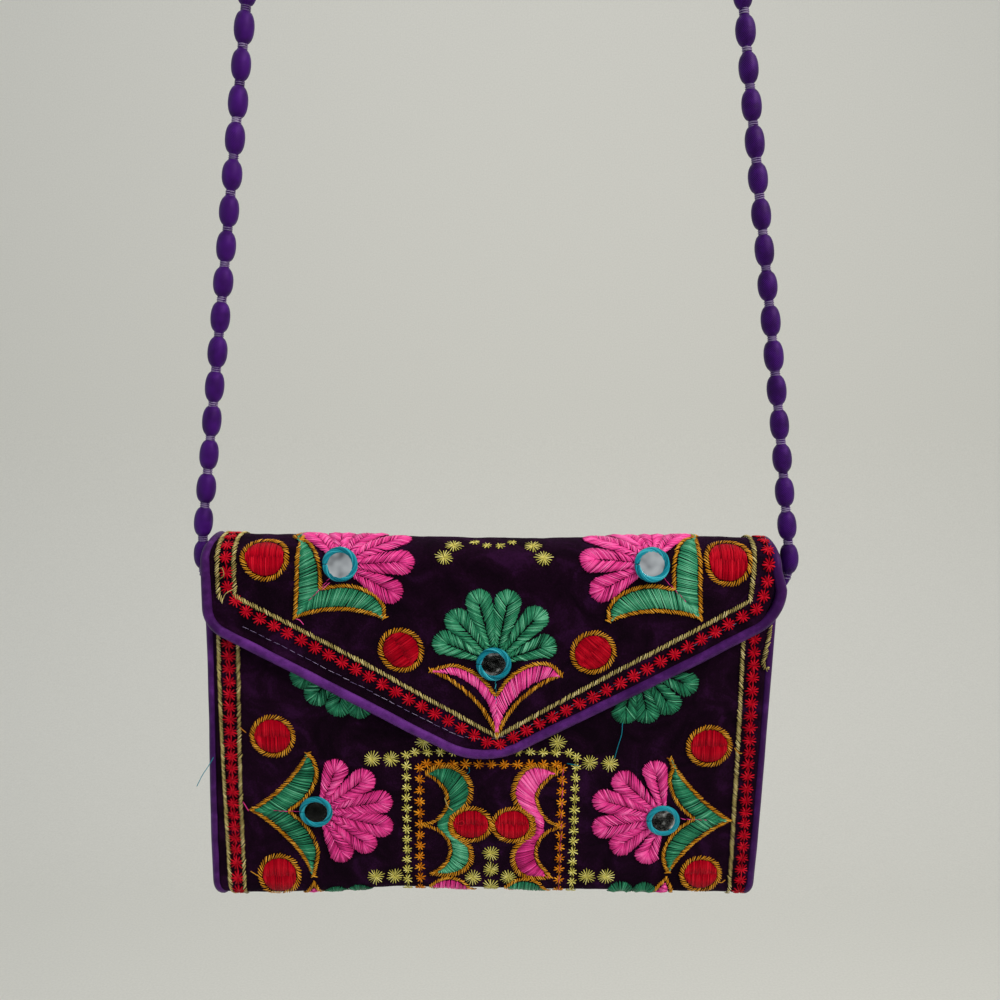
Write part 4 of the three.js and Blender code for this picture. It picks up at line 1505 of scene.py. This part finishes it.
@dataclass(frozen=True)
class LooseThread:
    """A thread that has come loose: its colour, and the points it passes, as (x, s, lift)."""

    colour: Colour
    points: tuple[tuple[float, float, float], ...]


@dataclass
class LooseEnds:
    """The threads that have come loose on the front, and the tails at the bottom corners."""

    cloth: Cloth
    radius: float = 0.16

    def build(self, materials: dict[Colour, bpy.types.Material]) -> None:
        """Lays every loose thread, those of one colour as one piece."""
        rng = np.random.default_rng(SEED + 30)
        for colour in Colour:
            chosen = [thread for thread in LOOSE_THREADS if thread.colour is colour]
            lines = [
                self.cloth.to_world(self.cloth.surface(*curve_through(thread.points).T))
                for thread in chosen
            ]
            if lines:
                piece = threads(f"loose_ends_{colour.name.lower()}", lines, self.radius * MM, 5, rng)
                dress(piece, materials[colour])


LOOSE_THREADS = (
    LooseThread(Colour.TURQUOISE, (
        (52.4, 63.0, 1.3), (52.2, 68.0, 2.2), (51.0, 73.5, 2.0), (49.9, 79.7, 1.3),
    )),
    LooseThread(Colour.TURQUOISE, (
        (-112.6, 81.5, 1.0), (-114.6, 85.0, 2.2), (-117.2, 89.0, 2.4), (-120.0, 94.5, 2.0),
    )),
    LooseThread(Colour.TURQUOISE, ((-9.1, 84.0, 1.3), (-8.8, 85.6, 2.0), (-9.9, 87.2, 1.4))),
    LooseThread(Colour.TURQUOISE, ((30.7, 82.1, 1.3), (33.2, 82.2, 1.8), (35.7, 83.0, 1.3))),
    LooseThread(Colour.ROPE, ((-105.2, 343.4, 1.3), (-103.6, 340.4, 2.0), (-100.6, 338.6, 1.5))),
    LooseThread(Colour.ROPE, (
        (-106.5, 331.0, 1.2), (-104.6, 330.2, 2.2), (-104.0, 333.0, 2.4), (-106.0, 334.8, 1.4),
    )),
    LooseThread(Colour.ROPE, ((-18.9, 97.8, 1.5), (-17.4, 101.3, 2.2), (-15.3, 103.6, 1.6))),
    LooseThread(Colour.GREEN, (
        (-17.2, 89.0, 1.7), (-15.6, 88.4, 2.3), (-15.2, 90.2, 2.4), (-17.0, 90.8, 1.8),
    )),
    LooseThread(Colour.GOLD, ((-99.0, 70.5, 1.3), (-100.8, 68.4, 1.8), (-102.2, 67.4, 1.3))),
    LooseThread(Colour.GOLD, ((-96.6, 133.8, 1.3), (-98.2, 132.6, 1.8), (-100.0, 132.0, 1.3))),
    LooseThread(Colour.GOLD, ((98.0, 73.6, 1.3), (99.8, 75.4, 1.8), (101.4, 76.0, 1.3))),
    LooseThread(Colour.GOLD, ((95.6, 135.2, 1.3), (97.2, 135.4, 1.8), (98.8, 134.4, 1.3))),
    LooseThread(Colour.RED, (
        (-13.9, 109.1, 1.6), (-11.4, 107.9, 2.2), (-10.9, 109.5, 2.3), (-13.2, 110.5, 1.6),
    )),
    LooseThread(Colour.PINK, ((-77.0, 350.4, 1.3), (-75.4, 350.8, 1.9), (-74.0, 352.8, 1.3))),
    LooseThread(Colour.PINK, ((-101.6, 101.4, 1.3), (-100.6, 102.6, 1.9), (-99.4, 105.6, 1.4))),
    LooseThread(Colour.PINK, ((-66.6, 338.6, 1.4), (-65.2, 337.0, 1.9), (-63.4, 335.4, 1.4))),
    LooseThread(Colour.LILAC, ((-107.6, 149.0, 0.8), (-109.4, 151.0, 2.6), (-111.6, 152.5, 4.6))),
    LooseThread(Colour.LILAC, ((-108.4, 149.4, 0.8), (-109.0, 152.0, 2.4), (-108.2, 153.0, 4.2))),
    LooseThread(Colour.LILAC, ((107.6, 149.0, 0.8), (108.2, 151.5, 2.6), (107.8, 152.5, 5.0))),
)


class FlapEmbroidery(Embroidery):
    """The motifs on the flap and over the top fold."""

    GROUP = "flap"
    DISCS = (
        # x, s, width, height, turn
        (-88.6, 325.6, 14.8, 15.6, 0),
        (-36.1, 362.4, 14.4, 13.8, 55),
        (39.1, 361.9, 14.2, 13.6, -48),
        (90.2, 324.6, 14.8, 15.4, 0),
    )
    LEFT_OUTER = ((-107.2, 296), (-106.9, 312), (-106.8, 328), (-106.6, 340), (-105.2, 343.4))
    INNER = ((-100.5, 296), (-100.5, 318), (-100.4, 341.5))
    INNER_FOOT = (2.1, 398.4)
    INNER_RIGHT = ((99.2, 339.9), (100.6, 318), (101.4, 296))
    STARS = (
        (-103.9, 296), (-103.9, 318), (-103.1, 338), (-98.2, 346.6), (-50, 373.0), (1.4, 402.8),
        (50, 374.6), (102.1, 343.0), (105.1, 335.6), (106.2, 318), (106.4, 296),
    )
    BIG_STARS = ((-19.5, 324.4), (-16, 318), (14.8, 317.8), (19, 324.2))
    SMALL_STARS = ((-7.9, 315.4), (-3.1, 317.7), (1.9, 317.6), (6.6, 315))

    def sew(self) -> None:
        """Sews every motif of the flap."""
        group = self.GROUP
        for flower in FLOWERS[:3]:
            mirror = np.array(flower.mirror)
            self.cup(group + "_cups", flower)
            slit = flower.petal_colour is Colour.GREEN
            spread, seam = (0.235, 0.1) if slit else (0.266, -0.12)
            for petal in flower.petals:
                self.petal(group + "_petals", flower.petal_colour, mirror, petal, 10.5, spread, seam)
        for x, s, width, height, turn in self.DISCS:
            self.disc(group, (x, s), width, height, turn)
        self.whip(group, Colour.ROPE, curve_through(self.LEFT_OUTER), 42, 2.8, 0.98, 0.46)
        left = [*self.INNER, (-50, 368.4), self.INNER_FOOT]
        self.whip(group, Colour.ROPE, np.array(left), 44, 2.7, 0.96, 0.46)
        right = [self.INNER_FOOT, (50, 368.6), *self.INNER_RIGHT]
        self.whip(group, Colour.ROPE, np.array(right), -46, 2.7, 0.96, 0.46)
        self.star_row(group, Colour.RED, self.STARS, 6.0, 5.9, 0.6, 0.62, 11, False)
        for star in self.BIG_STARS:
            self.star(group, Colour.PALE, star, 7.6, 17, 0.36)
        for star in self.SMALL_STARS:
            self.star(group, Colour.PALE, star, 4.4, 8, 0.5)
        self._topstitch()

    def _topstitch(self) -> None:
        """Sews the fine line of machine stitches inside the flap's piping."""
        cloth = self.cloth
        inset = 5.2
        x = np.linspace(-98, 92, 400)
        s = cloth.flap_s(cloth.flap_edge_z(x) + inset / math.cos(cloth.slope))
        points, along = spaced(np.stack([x, s], 1), 3.4)
        ends = points + along * 2.9
        self.needle.sew("flap_topstitch", Colour.LILAC, points, ends, 0.16, 0.06, 0.68, 0.12, -0.12)


class FrontEmbroidery(Embroidery):
    """The motifs on the pocket's front, round the bottom fold and up the back's borders."""

    GROUP = "front"
    DISCS = (
        (-88.3, 71.9, 14.3, 14.6, 0),
        (-87.8, 133.5, 13.9, 12.5, 0),
        (87.8, 73.0, 14.6, 14.4, 0),
        (88.3, 131.8, 13.6, 13.4, 0),
        (-8.0, 110.1, 14.2, 12.7, 0),
        (9.1, 110.2, 13.8, 12.9, 0),
    )
    LEFT_OUTER = ((-108.3, 22), (-108.9, 60), (-108.9, 100), (-108.6, 152), (-107.8, 220), (-107.2, 296))
    LEFT_STARS = ((-104.4, 22), (-104.6, 36), (-105.6, 90), (-105.4, 150), (-104.4, 220), (-103.9, 290))
    LEFT_INNER = ((-100.6, 22), (-101.2, 50), (-102.4, 100), (-102.6, 150), (-101.4, 220), (-100.5, 296))
    RIGHT_INNER = ((98.4, 22), (99.2, 60), (100.2, 110), (100.9, 150), (101.1, 220), (101.4, 296))
    RIGHT_STARS = ((102.8, 22), (103.4, 50), (104.6, 100), (105.2, 150), (105.8, 220), (106.2, 290))
    RIGHT_OUTER = ((109.2, 18), (108.6, 26), (107.4, 34), (107.2, 37.4), (108.6, 39.6), (110.0, 38.6))
    BIG_STARS = (
        (-27.3, 73), (26.8, 72.9), (-48.4, 80.9), (-40.7, 80.7), (40, 81.5), (48.2, 81.8),
        (-47.6, 135.1), (-39.6, 134.9), (40.8, 133.9), (48.8, 133.7), (0.5, 123.6), (0.6, 131.3),
        (-6.9, 135.3), (7.8, 135), (0.7, 139.5),
    )
    # The double crescents: the edge beside the discs, and the edge's two arcs towards the stars
    LEFT_EDGE = (
        (-26.5, 87.0), (-22.3, 84.1), (-16.5, 83.8), (-11.6, 86.5), (-8.7, 91.1), (-8.1, 95.7),
        (-9.5, 100.3), (-12.4, 103.3), (-15.3, 105.4), (-16.5, 110.5), (-15.3, 115.1),
        (-12.4, 117.4), (-9.1, 119.7), (-7.7, 123.8), (-8.2, 128.4), (-11.2, 132.1),
        (-16.5, 134.2), (-24.2, 133.7),
    )
    LEFT_UPPER_ARC = (
        (-26.5, 87.0), (-22.8, 89.5), (-19.4, 93.4), (-17.7, 98.0), (-18.2, 102.4), (-20.7, 106.8),
        (-24.4, 109.4), (-29.1, 110.2),
    )
    LEFT_LOWER_ARC = (
        (-29.1, 110.2), (-24.0, 111.6), (-19.9, 114.1), (-17.2, 118.0), (-16.5, 122.4),
        (-17.5, 127.0), (-20.5, 130.9), (-24.2, 133.7),
    )
    RIGHT_EDGE = (
        (27.1, 86.4), (22.0, 83.8), (16.6, 83.3), (12.9, 85.9), (10.0, 90.7), (9.2, 95.7),
        (10.8, 100.5), (13.7, 103.6), (16.9, 105.4), (18.0, 110.5), (16.9, 115.3), (13.3, 117.8),
        (10.4, 121.5), (9.4, 125.2), (10.2, 129.3), (12.5, 133.0), (17.5, 135.1), (25.6, 134.4),
    )
    RIGHT_UPPER_ARC = (
        (27.1, 86.4), (24.1, 88.4), (20.4, 93.0), (18.9, 97.6), (19.9, 102.2), (22.6, 106.8),
        (26.2, 109.7), (29.6, 111.1),
    )
    RIGHT_LOWER_ARC = (
        (29.6, 111.1), (24.5, 112.8), (20.9, 116.4), (19.3, 121.5), (20.1, 127.0), (23.1, 131.2),
        (25.6, 134.4),
    )

    def sew(self) -> None:
        """Sews every motif of the front, the bottom and the back's borders."""
        group = self.GROUP
        for flower in FLOWERS[3:]:
            mirror = np.array(flower.mirror)
            self.cup(group + "_cups", flower)
            for petal in flower.petals:
                self.petal(group + "_petals", flower.petal_colour, mirror, petal)
        hidden = (
            ((-56.0, 37.0), (205, 229, 255, 278)),
            ((57.0, 37.5), (260, 283, 308, 336)),
        )
        for centre, angles in hidden:
            for angle in angles:
                petal = Petal(angle, 26.5, 0.32)
                self.petal(group + "_petals", Colour.GREEN, np.array(centre), petal, 10.8, 0.22, 0.12)
        for x, s, width, height, turn in self.DISCS:
            self.disc(group, (x, s), width, height, turn)
        self._borders()
        self._frame_of_stars()
        self._crescents()
        self._bottom_motifs()

    def _borders(self) -> None:
        """Sews the ropes and red stars down both sides and up the back."""
        group = self.GROUP + "_borders"
        ropes = (
            (self.LEFT_OUTER, -38), (self.LEFT_INNER, 38), (self.RIGHT_INNER, -42), (self.RIGHT_OUTER, 42),
        )
        for line, slant in ropes:
            self.whip(group, Colour.ROPE, curve_through(line), slant, 2.7, 1.0, 0.44)
        for line in (self.LEFT_STARS, self.RIGHT_STARS):
            self.star_row(group, Colour.RED, line, 5.35, 5.9, 0.6, 0.5, 11)

    def _frame_of_stars(self) -> None:
        """Sews the frame of small stars round the crescents, and the big stars at its corners."""
        group = self.GROUP
        for x in (-34.4, 34.5):
            self.star_row(group, Colour.PALE, ((x, 79), (x, 110), (x, 151)), 4.95, 4.5)
        for x in (-29.0, 29.0):
            self.star_row(group, Colour.ORANGE, ((x, 84.5), (x, 110), (x, 151)), 4.95, 4.7, 0.56)
        self.star_row(group, Colour.ORANGE, ((-26.3, 82.7), (0, 82.9), (26.5, 82.7)), 5.2, 4.7, 0.56)
        self.whip(group, Colour.PINK, np.array([(29.3, 86.0), (29.3, 150.0)]), 3, 4.4, 4.9, 0.26, tone=0.2)
        self.star_row(group, Colour.PALE, ((-31, 77.6), (0, 77.2), (31.4, 77.4)), 5.1, 4.4)
        for star in self.BIG_STARS:
            self.star(group, Colour.PALE, star, 7.6, 17, 0.36)

    def _crescents(self) -> None:
        """Sews the two double crescents that face each other, in green and in pink."""
        group = self.GROUP + "_crescents"
        bare = 6.6
        crescents = (
            (Colour.GREEN, -1, self.LEFT_EDGE, self.LEFT_UPPER_ARC, self.LEFT_LOWER_ARC, (0.26, 0.6)),
            (Colour.PINK, 1, self.RIGHT_EDGE, self.RIGHT_UPPER_ARC, self.RIGHT_LOWER_ARC, (0.68, 0.26)),
        )
        for colour, side, edge, upper, lower, tones in crescents:
            outer, arcs = curve_through(edge), (curve_through(upper), curve_through(lower))
            split = len(outer) // 2
            limit = side * (side * arcs[0][-1, 0] - bare)
            for part, arc, tone in zip((outer[:split + 1], outer[split:]), arcs, tones):
                filled = arc.copy()
                filled[:, 0] = side * np.minimum(side * arc[:, 0], side * limit)
                self.fill(group, colour, part, filled, 0.0, 0.75, tone)
                self.whip(group, Colour.GOLD, arc, -side * 46, 2.3, 0.96, 0.46, tone=0.45)
            self.whip(group, Colour.GOLD, outer, side * 58, 2.9, 0.94, 0.44)

    def _bottom_motifs(self) -> None:
        """Sews the tops of the motifs that the bottom fold cuts, down to where they end below."""
        group = self.GROUP + "_bottom"
        for x, colour in ((-16.0, Colour.PINK), (15.6, Colour.GREEN)):
            top = curve_through(((x - 9, 139.8), (x - 3, 136), (x + 4, 136.8), (x + 9.5, 142.5)))
            low = curve_through(((x - 9, 139.8), (x - 3.5, 144.5), (x + 3, 146.6), (x + 9.5, 142.5)))
            self.fill(group, colour, top, low, 0.0, 0.9, 0.4)
            self.whip(group, Colour.GOLD, top, -45, 2.2, 1.0, 0.54)
            self.whip(group, Colour.GOLD, low, 45, 2.2, 1.0, 0.54)
        for x, tip in ((-73.5, 137.0), (73.9, 134.4)):
            left = curve_through(((x, tip), (x - 3.2, tip + 3.9), (x - 6.5, tip + 9.9)))
            right = curve_through(((x, tip), (x + 2.2, tip + 4.4), (x + 3.2, tip + 10.4)))
            self.fill(group, Colour.PINK, left, right, 0.0, 1.1, 0.6)
            self.whip(group, Colour.GOLD, left, -40, 2.4, 1.0, 0.56)
            self.whip(group, Colour.GOLD, right, 40, 2.4, 1.0, 0.56)
        tips = (((-59.2, 164.8), (105, 78)), ((59.6, 162.3), (102, 75)))
        for centre, angles in tips:
            for angle in angles:
                petal = Petal(angle, 26.5, 0.32)
                self.petal(group, Colour.GREEN, np.array(centre), petal, 10.6, 0.22, 0.12)


@dataclass
class Purse:
    """The whole purse: velvet, piping, gussets, strap, mirrors, snap and embroidery."""

    cloth: Cloth

    def build(self) -> None:
        """Builds and dresses every piece."""
        VelvetCover(self.cloth).build(Velvet().material())
        # The piping carries painted shade at the purse's sides and in its right half
        Piping(self.cloth).build(Satin(
            "silk_satin_violet", "#2f0e41", "#602a7c", painted_side_shade=0.17, painted_right_shade=0.15,
        ).material())
        gusset_satin = Satin("silk_satin_violet_strip", "#200a36", "#341352").material()
        # The strap carries painted shade in the purse's right half
        strap_satin = Satin(
            "matt_satin_violet", "#1d0533", "#421370", 0.5, 0.48, 0.45, weave=0.26, painted_right_shade=0.1,
        ).material()
        materials = {colour: colour.value.material() for colour in Colour}
        for side in (-1, 1):
            Gusset(self.cloth, side).build(gusset_satin)
            BeadStrand(self.cloth, side).build(strap_satin, materials[Colour.LILAC])
        for part in (FlapEmbroidery(self.cloth), FrontEmbroidery(self.cloth)):
            part.sew()
            part.needle.finish(materials)
        LooseEnds(self.cloth).build(materials)
        self._mirrors(materials[Colour.TURQUOISE])
        self._snap()

    def _mirrors(self, thread: bpy.types.Material) -> None:
        """Gives the mirrors their glass and winds their rings."""
        glass = MirrorGlass().material()
        stitches = Embroidery(self.cloth)
        for flower in FLOWERS:
            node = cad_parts[flower.node]
            node.data.materials.clear()
            node.data.materials.append(glass)
            stitches.ring(flower.node + "_ring", flower.node, flower.mirror, thread)

    def _snap(self) -> None:
        """Gives the hidden fastener its plate."""
        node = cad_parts["snap"]
        node.data.materials.clear()
        node.data.materials.append(NickelPlate().material())


@dataclass
class Studio:
    """The camera at the photograph's angle, the pale ground and the soft lights."""

    cloth: Cloth
    camera_x: float = 2.1
    camera_y: float = -395.3
    camera_over_top: float = 62.5
    pitch: float = degrees(7.3)
    roll: float = degrees(0.38)
    floor_drop: float = 1500.0
    # The dark card's left, right, foot, top and y
    flag: tuple[float, float, float, float, float] = (-330.0, 172.0, -1420.0, -836.0, -600.0)
    wall_behind: float = 2400.0

    def build(self) -> None:
        """Sets the camera, the ground and the lights."""
        self._camera()
        self._ground()
        self._flag()
        self._lights()

    def _camera(self) -> None:
        """Sets a camera whose focal length is as long as the picture is wide."""
        data = bpy.data.cameras.new("view")
        data.lens = 36.0
        data.sensor_width = 36.0
        data.clip_start = 0.01
        camera = bpy.data.objects.new("view", data)
        bpy.context.scene.collection.objects.link(camera)
        right = Vector((1, 0, 0))
        forward = Vector((0, math.cos(self.pitch), -math.sin(self.pitch)))
        up = right.cross(forward)
        c, s = math.cos(self.roll), math.sin(self.roll)
        rolled = right * c + up * s
        level = up * c - right * s
        turn = Matrix((rolled, level, -forward)).transposed()
        camera.matrix_world = turn.to_4x4()
        over_top = self.cloth.top_z + self.camera_over_top
        camera.location = Vector((self.camera_x, self.camera_y, over_top)) * MM
        bpy.context.scene.camera = camera

    def _ground(self) -> None:
        """Lays a pale floor that curves up into a wall far behind."""
        bend = 900.0
        reach = 5000.0

        def place(u: Array, v: Array) -> Array:
            """Floor, bend and wall, from the front to the top."""
            run = v * (reach + self.wall_behind - bend + bend * math.pi / 2 + reach)
            floor = reach + self.wall_behind - bend
            angle = np.clip((run - floor) / bend, 0, math.pi / 2)
            y = np.minimum(run, floor) - reach + bend * np.sin(angle)
            z = bend * (1 - np.cos(angle)) + np.maximum(0, run - floor - bend * math.pi / 2)
            return np.stack([(2 * u - 1) * reach, y, z - self.floor_drop], 1) * MM

        ground = grid_piece("ground", 4, 160, place)
        face_towards(ground, (0, 0, 1))
        ground.data.shade_smooth()
        ground.data.materials.append(Plaster().material())

    def _flag(self) -> None:
        """Hangs a dark card low in front, which only the purse's mirrors show."""
        left, right, foot, top, ahead = self.flag

        def place(u: Array, v: Array) -> Array:
            """Where the grid's shares lie on the card."""
            x = left + u * (right - left)
            return np.stack([x, np.full_like(u, ahead), foot + v * (top - foot)], 1) * MM

        card = grid_piece("dark_flag", 2, 2, place)
        card.data.materials.append(Plaster("black_felt", "#101113", "#2a2826").material())
        card.visible_camera = False
        card.visible_diffuse = False
        card.visible_shadow = False
        card.visible_transmission = False

    def _lights(self) -> None:
        """Sets a large soft window light at the upper right, a fill and the pale room."""
        centre = Vector((0, 0, self.cloth.top_z - self.cloth.height / 2)) * MM
        lights = (
            # name, place from the purse's middle in metres, size, power, colour
            ("window", (1.15, -0.95, 1.25), 0.9, 34.0, "#fff6ec"),
            ("fill", (-1.4, -1.0, 0.3), 1.6, 4.0, "#eef2ff"),
            ("ground_wash", (0.0, 0.9, 2.4), 2.4, 12.0, "#ffffff"),
        )
        for name, place, size, power, colour in lights:
            data = bpy.data.lights.new(name, "AREA")
            data.shape = "SQUARE"
            data.size = size
            data.energy = power
            data.color = linear(colour)[:3]
            light = bpy.data.objects.new(name, data)
            bpy.context.scene.collection.objects.link(light)
            light.location = centre + Vector(place)
            light.rotation_euler = (centre - light.location).to_track_quat("-Z", "Y").to_euler()
        world = bpy.data.worlds.new("room")
        world.use_nodes = True
        background = world.node_tree.nodes["Background"]
        background.inputs["Color"].default_value = linear("#e0e3e5")
        background.inputs["Strength"].default_value = 0.66
        bpy.context.scene.world = world
        bpy.context.scene.view_settings.view_transform = "Standard"


def main() -> None:
    """Builds the purse and its studio."""
    logging.basicConfig(level=logging.INFO, format="%(message)s")
    cloth = Cloth()
    Studio(cloth).build()
    Purse(cloth).build()


if __name__ == "__main__":
    main()
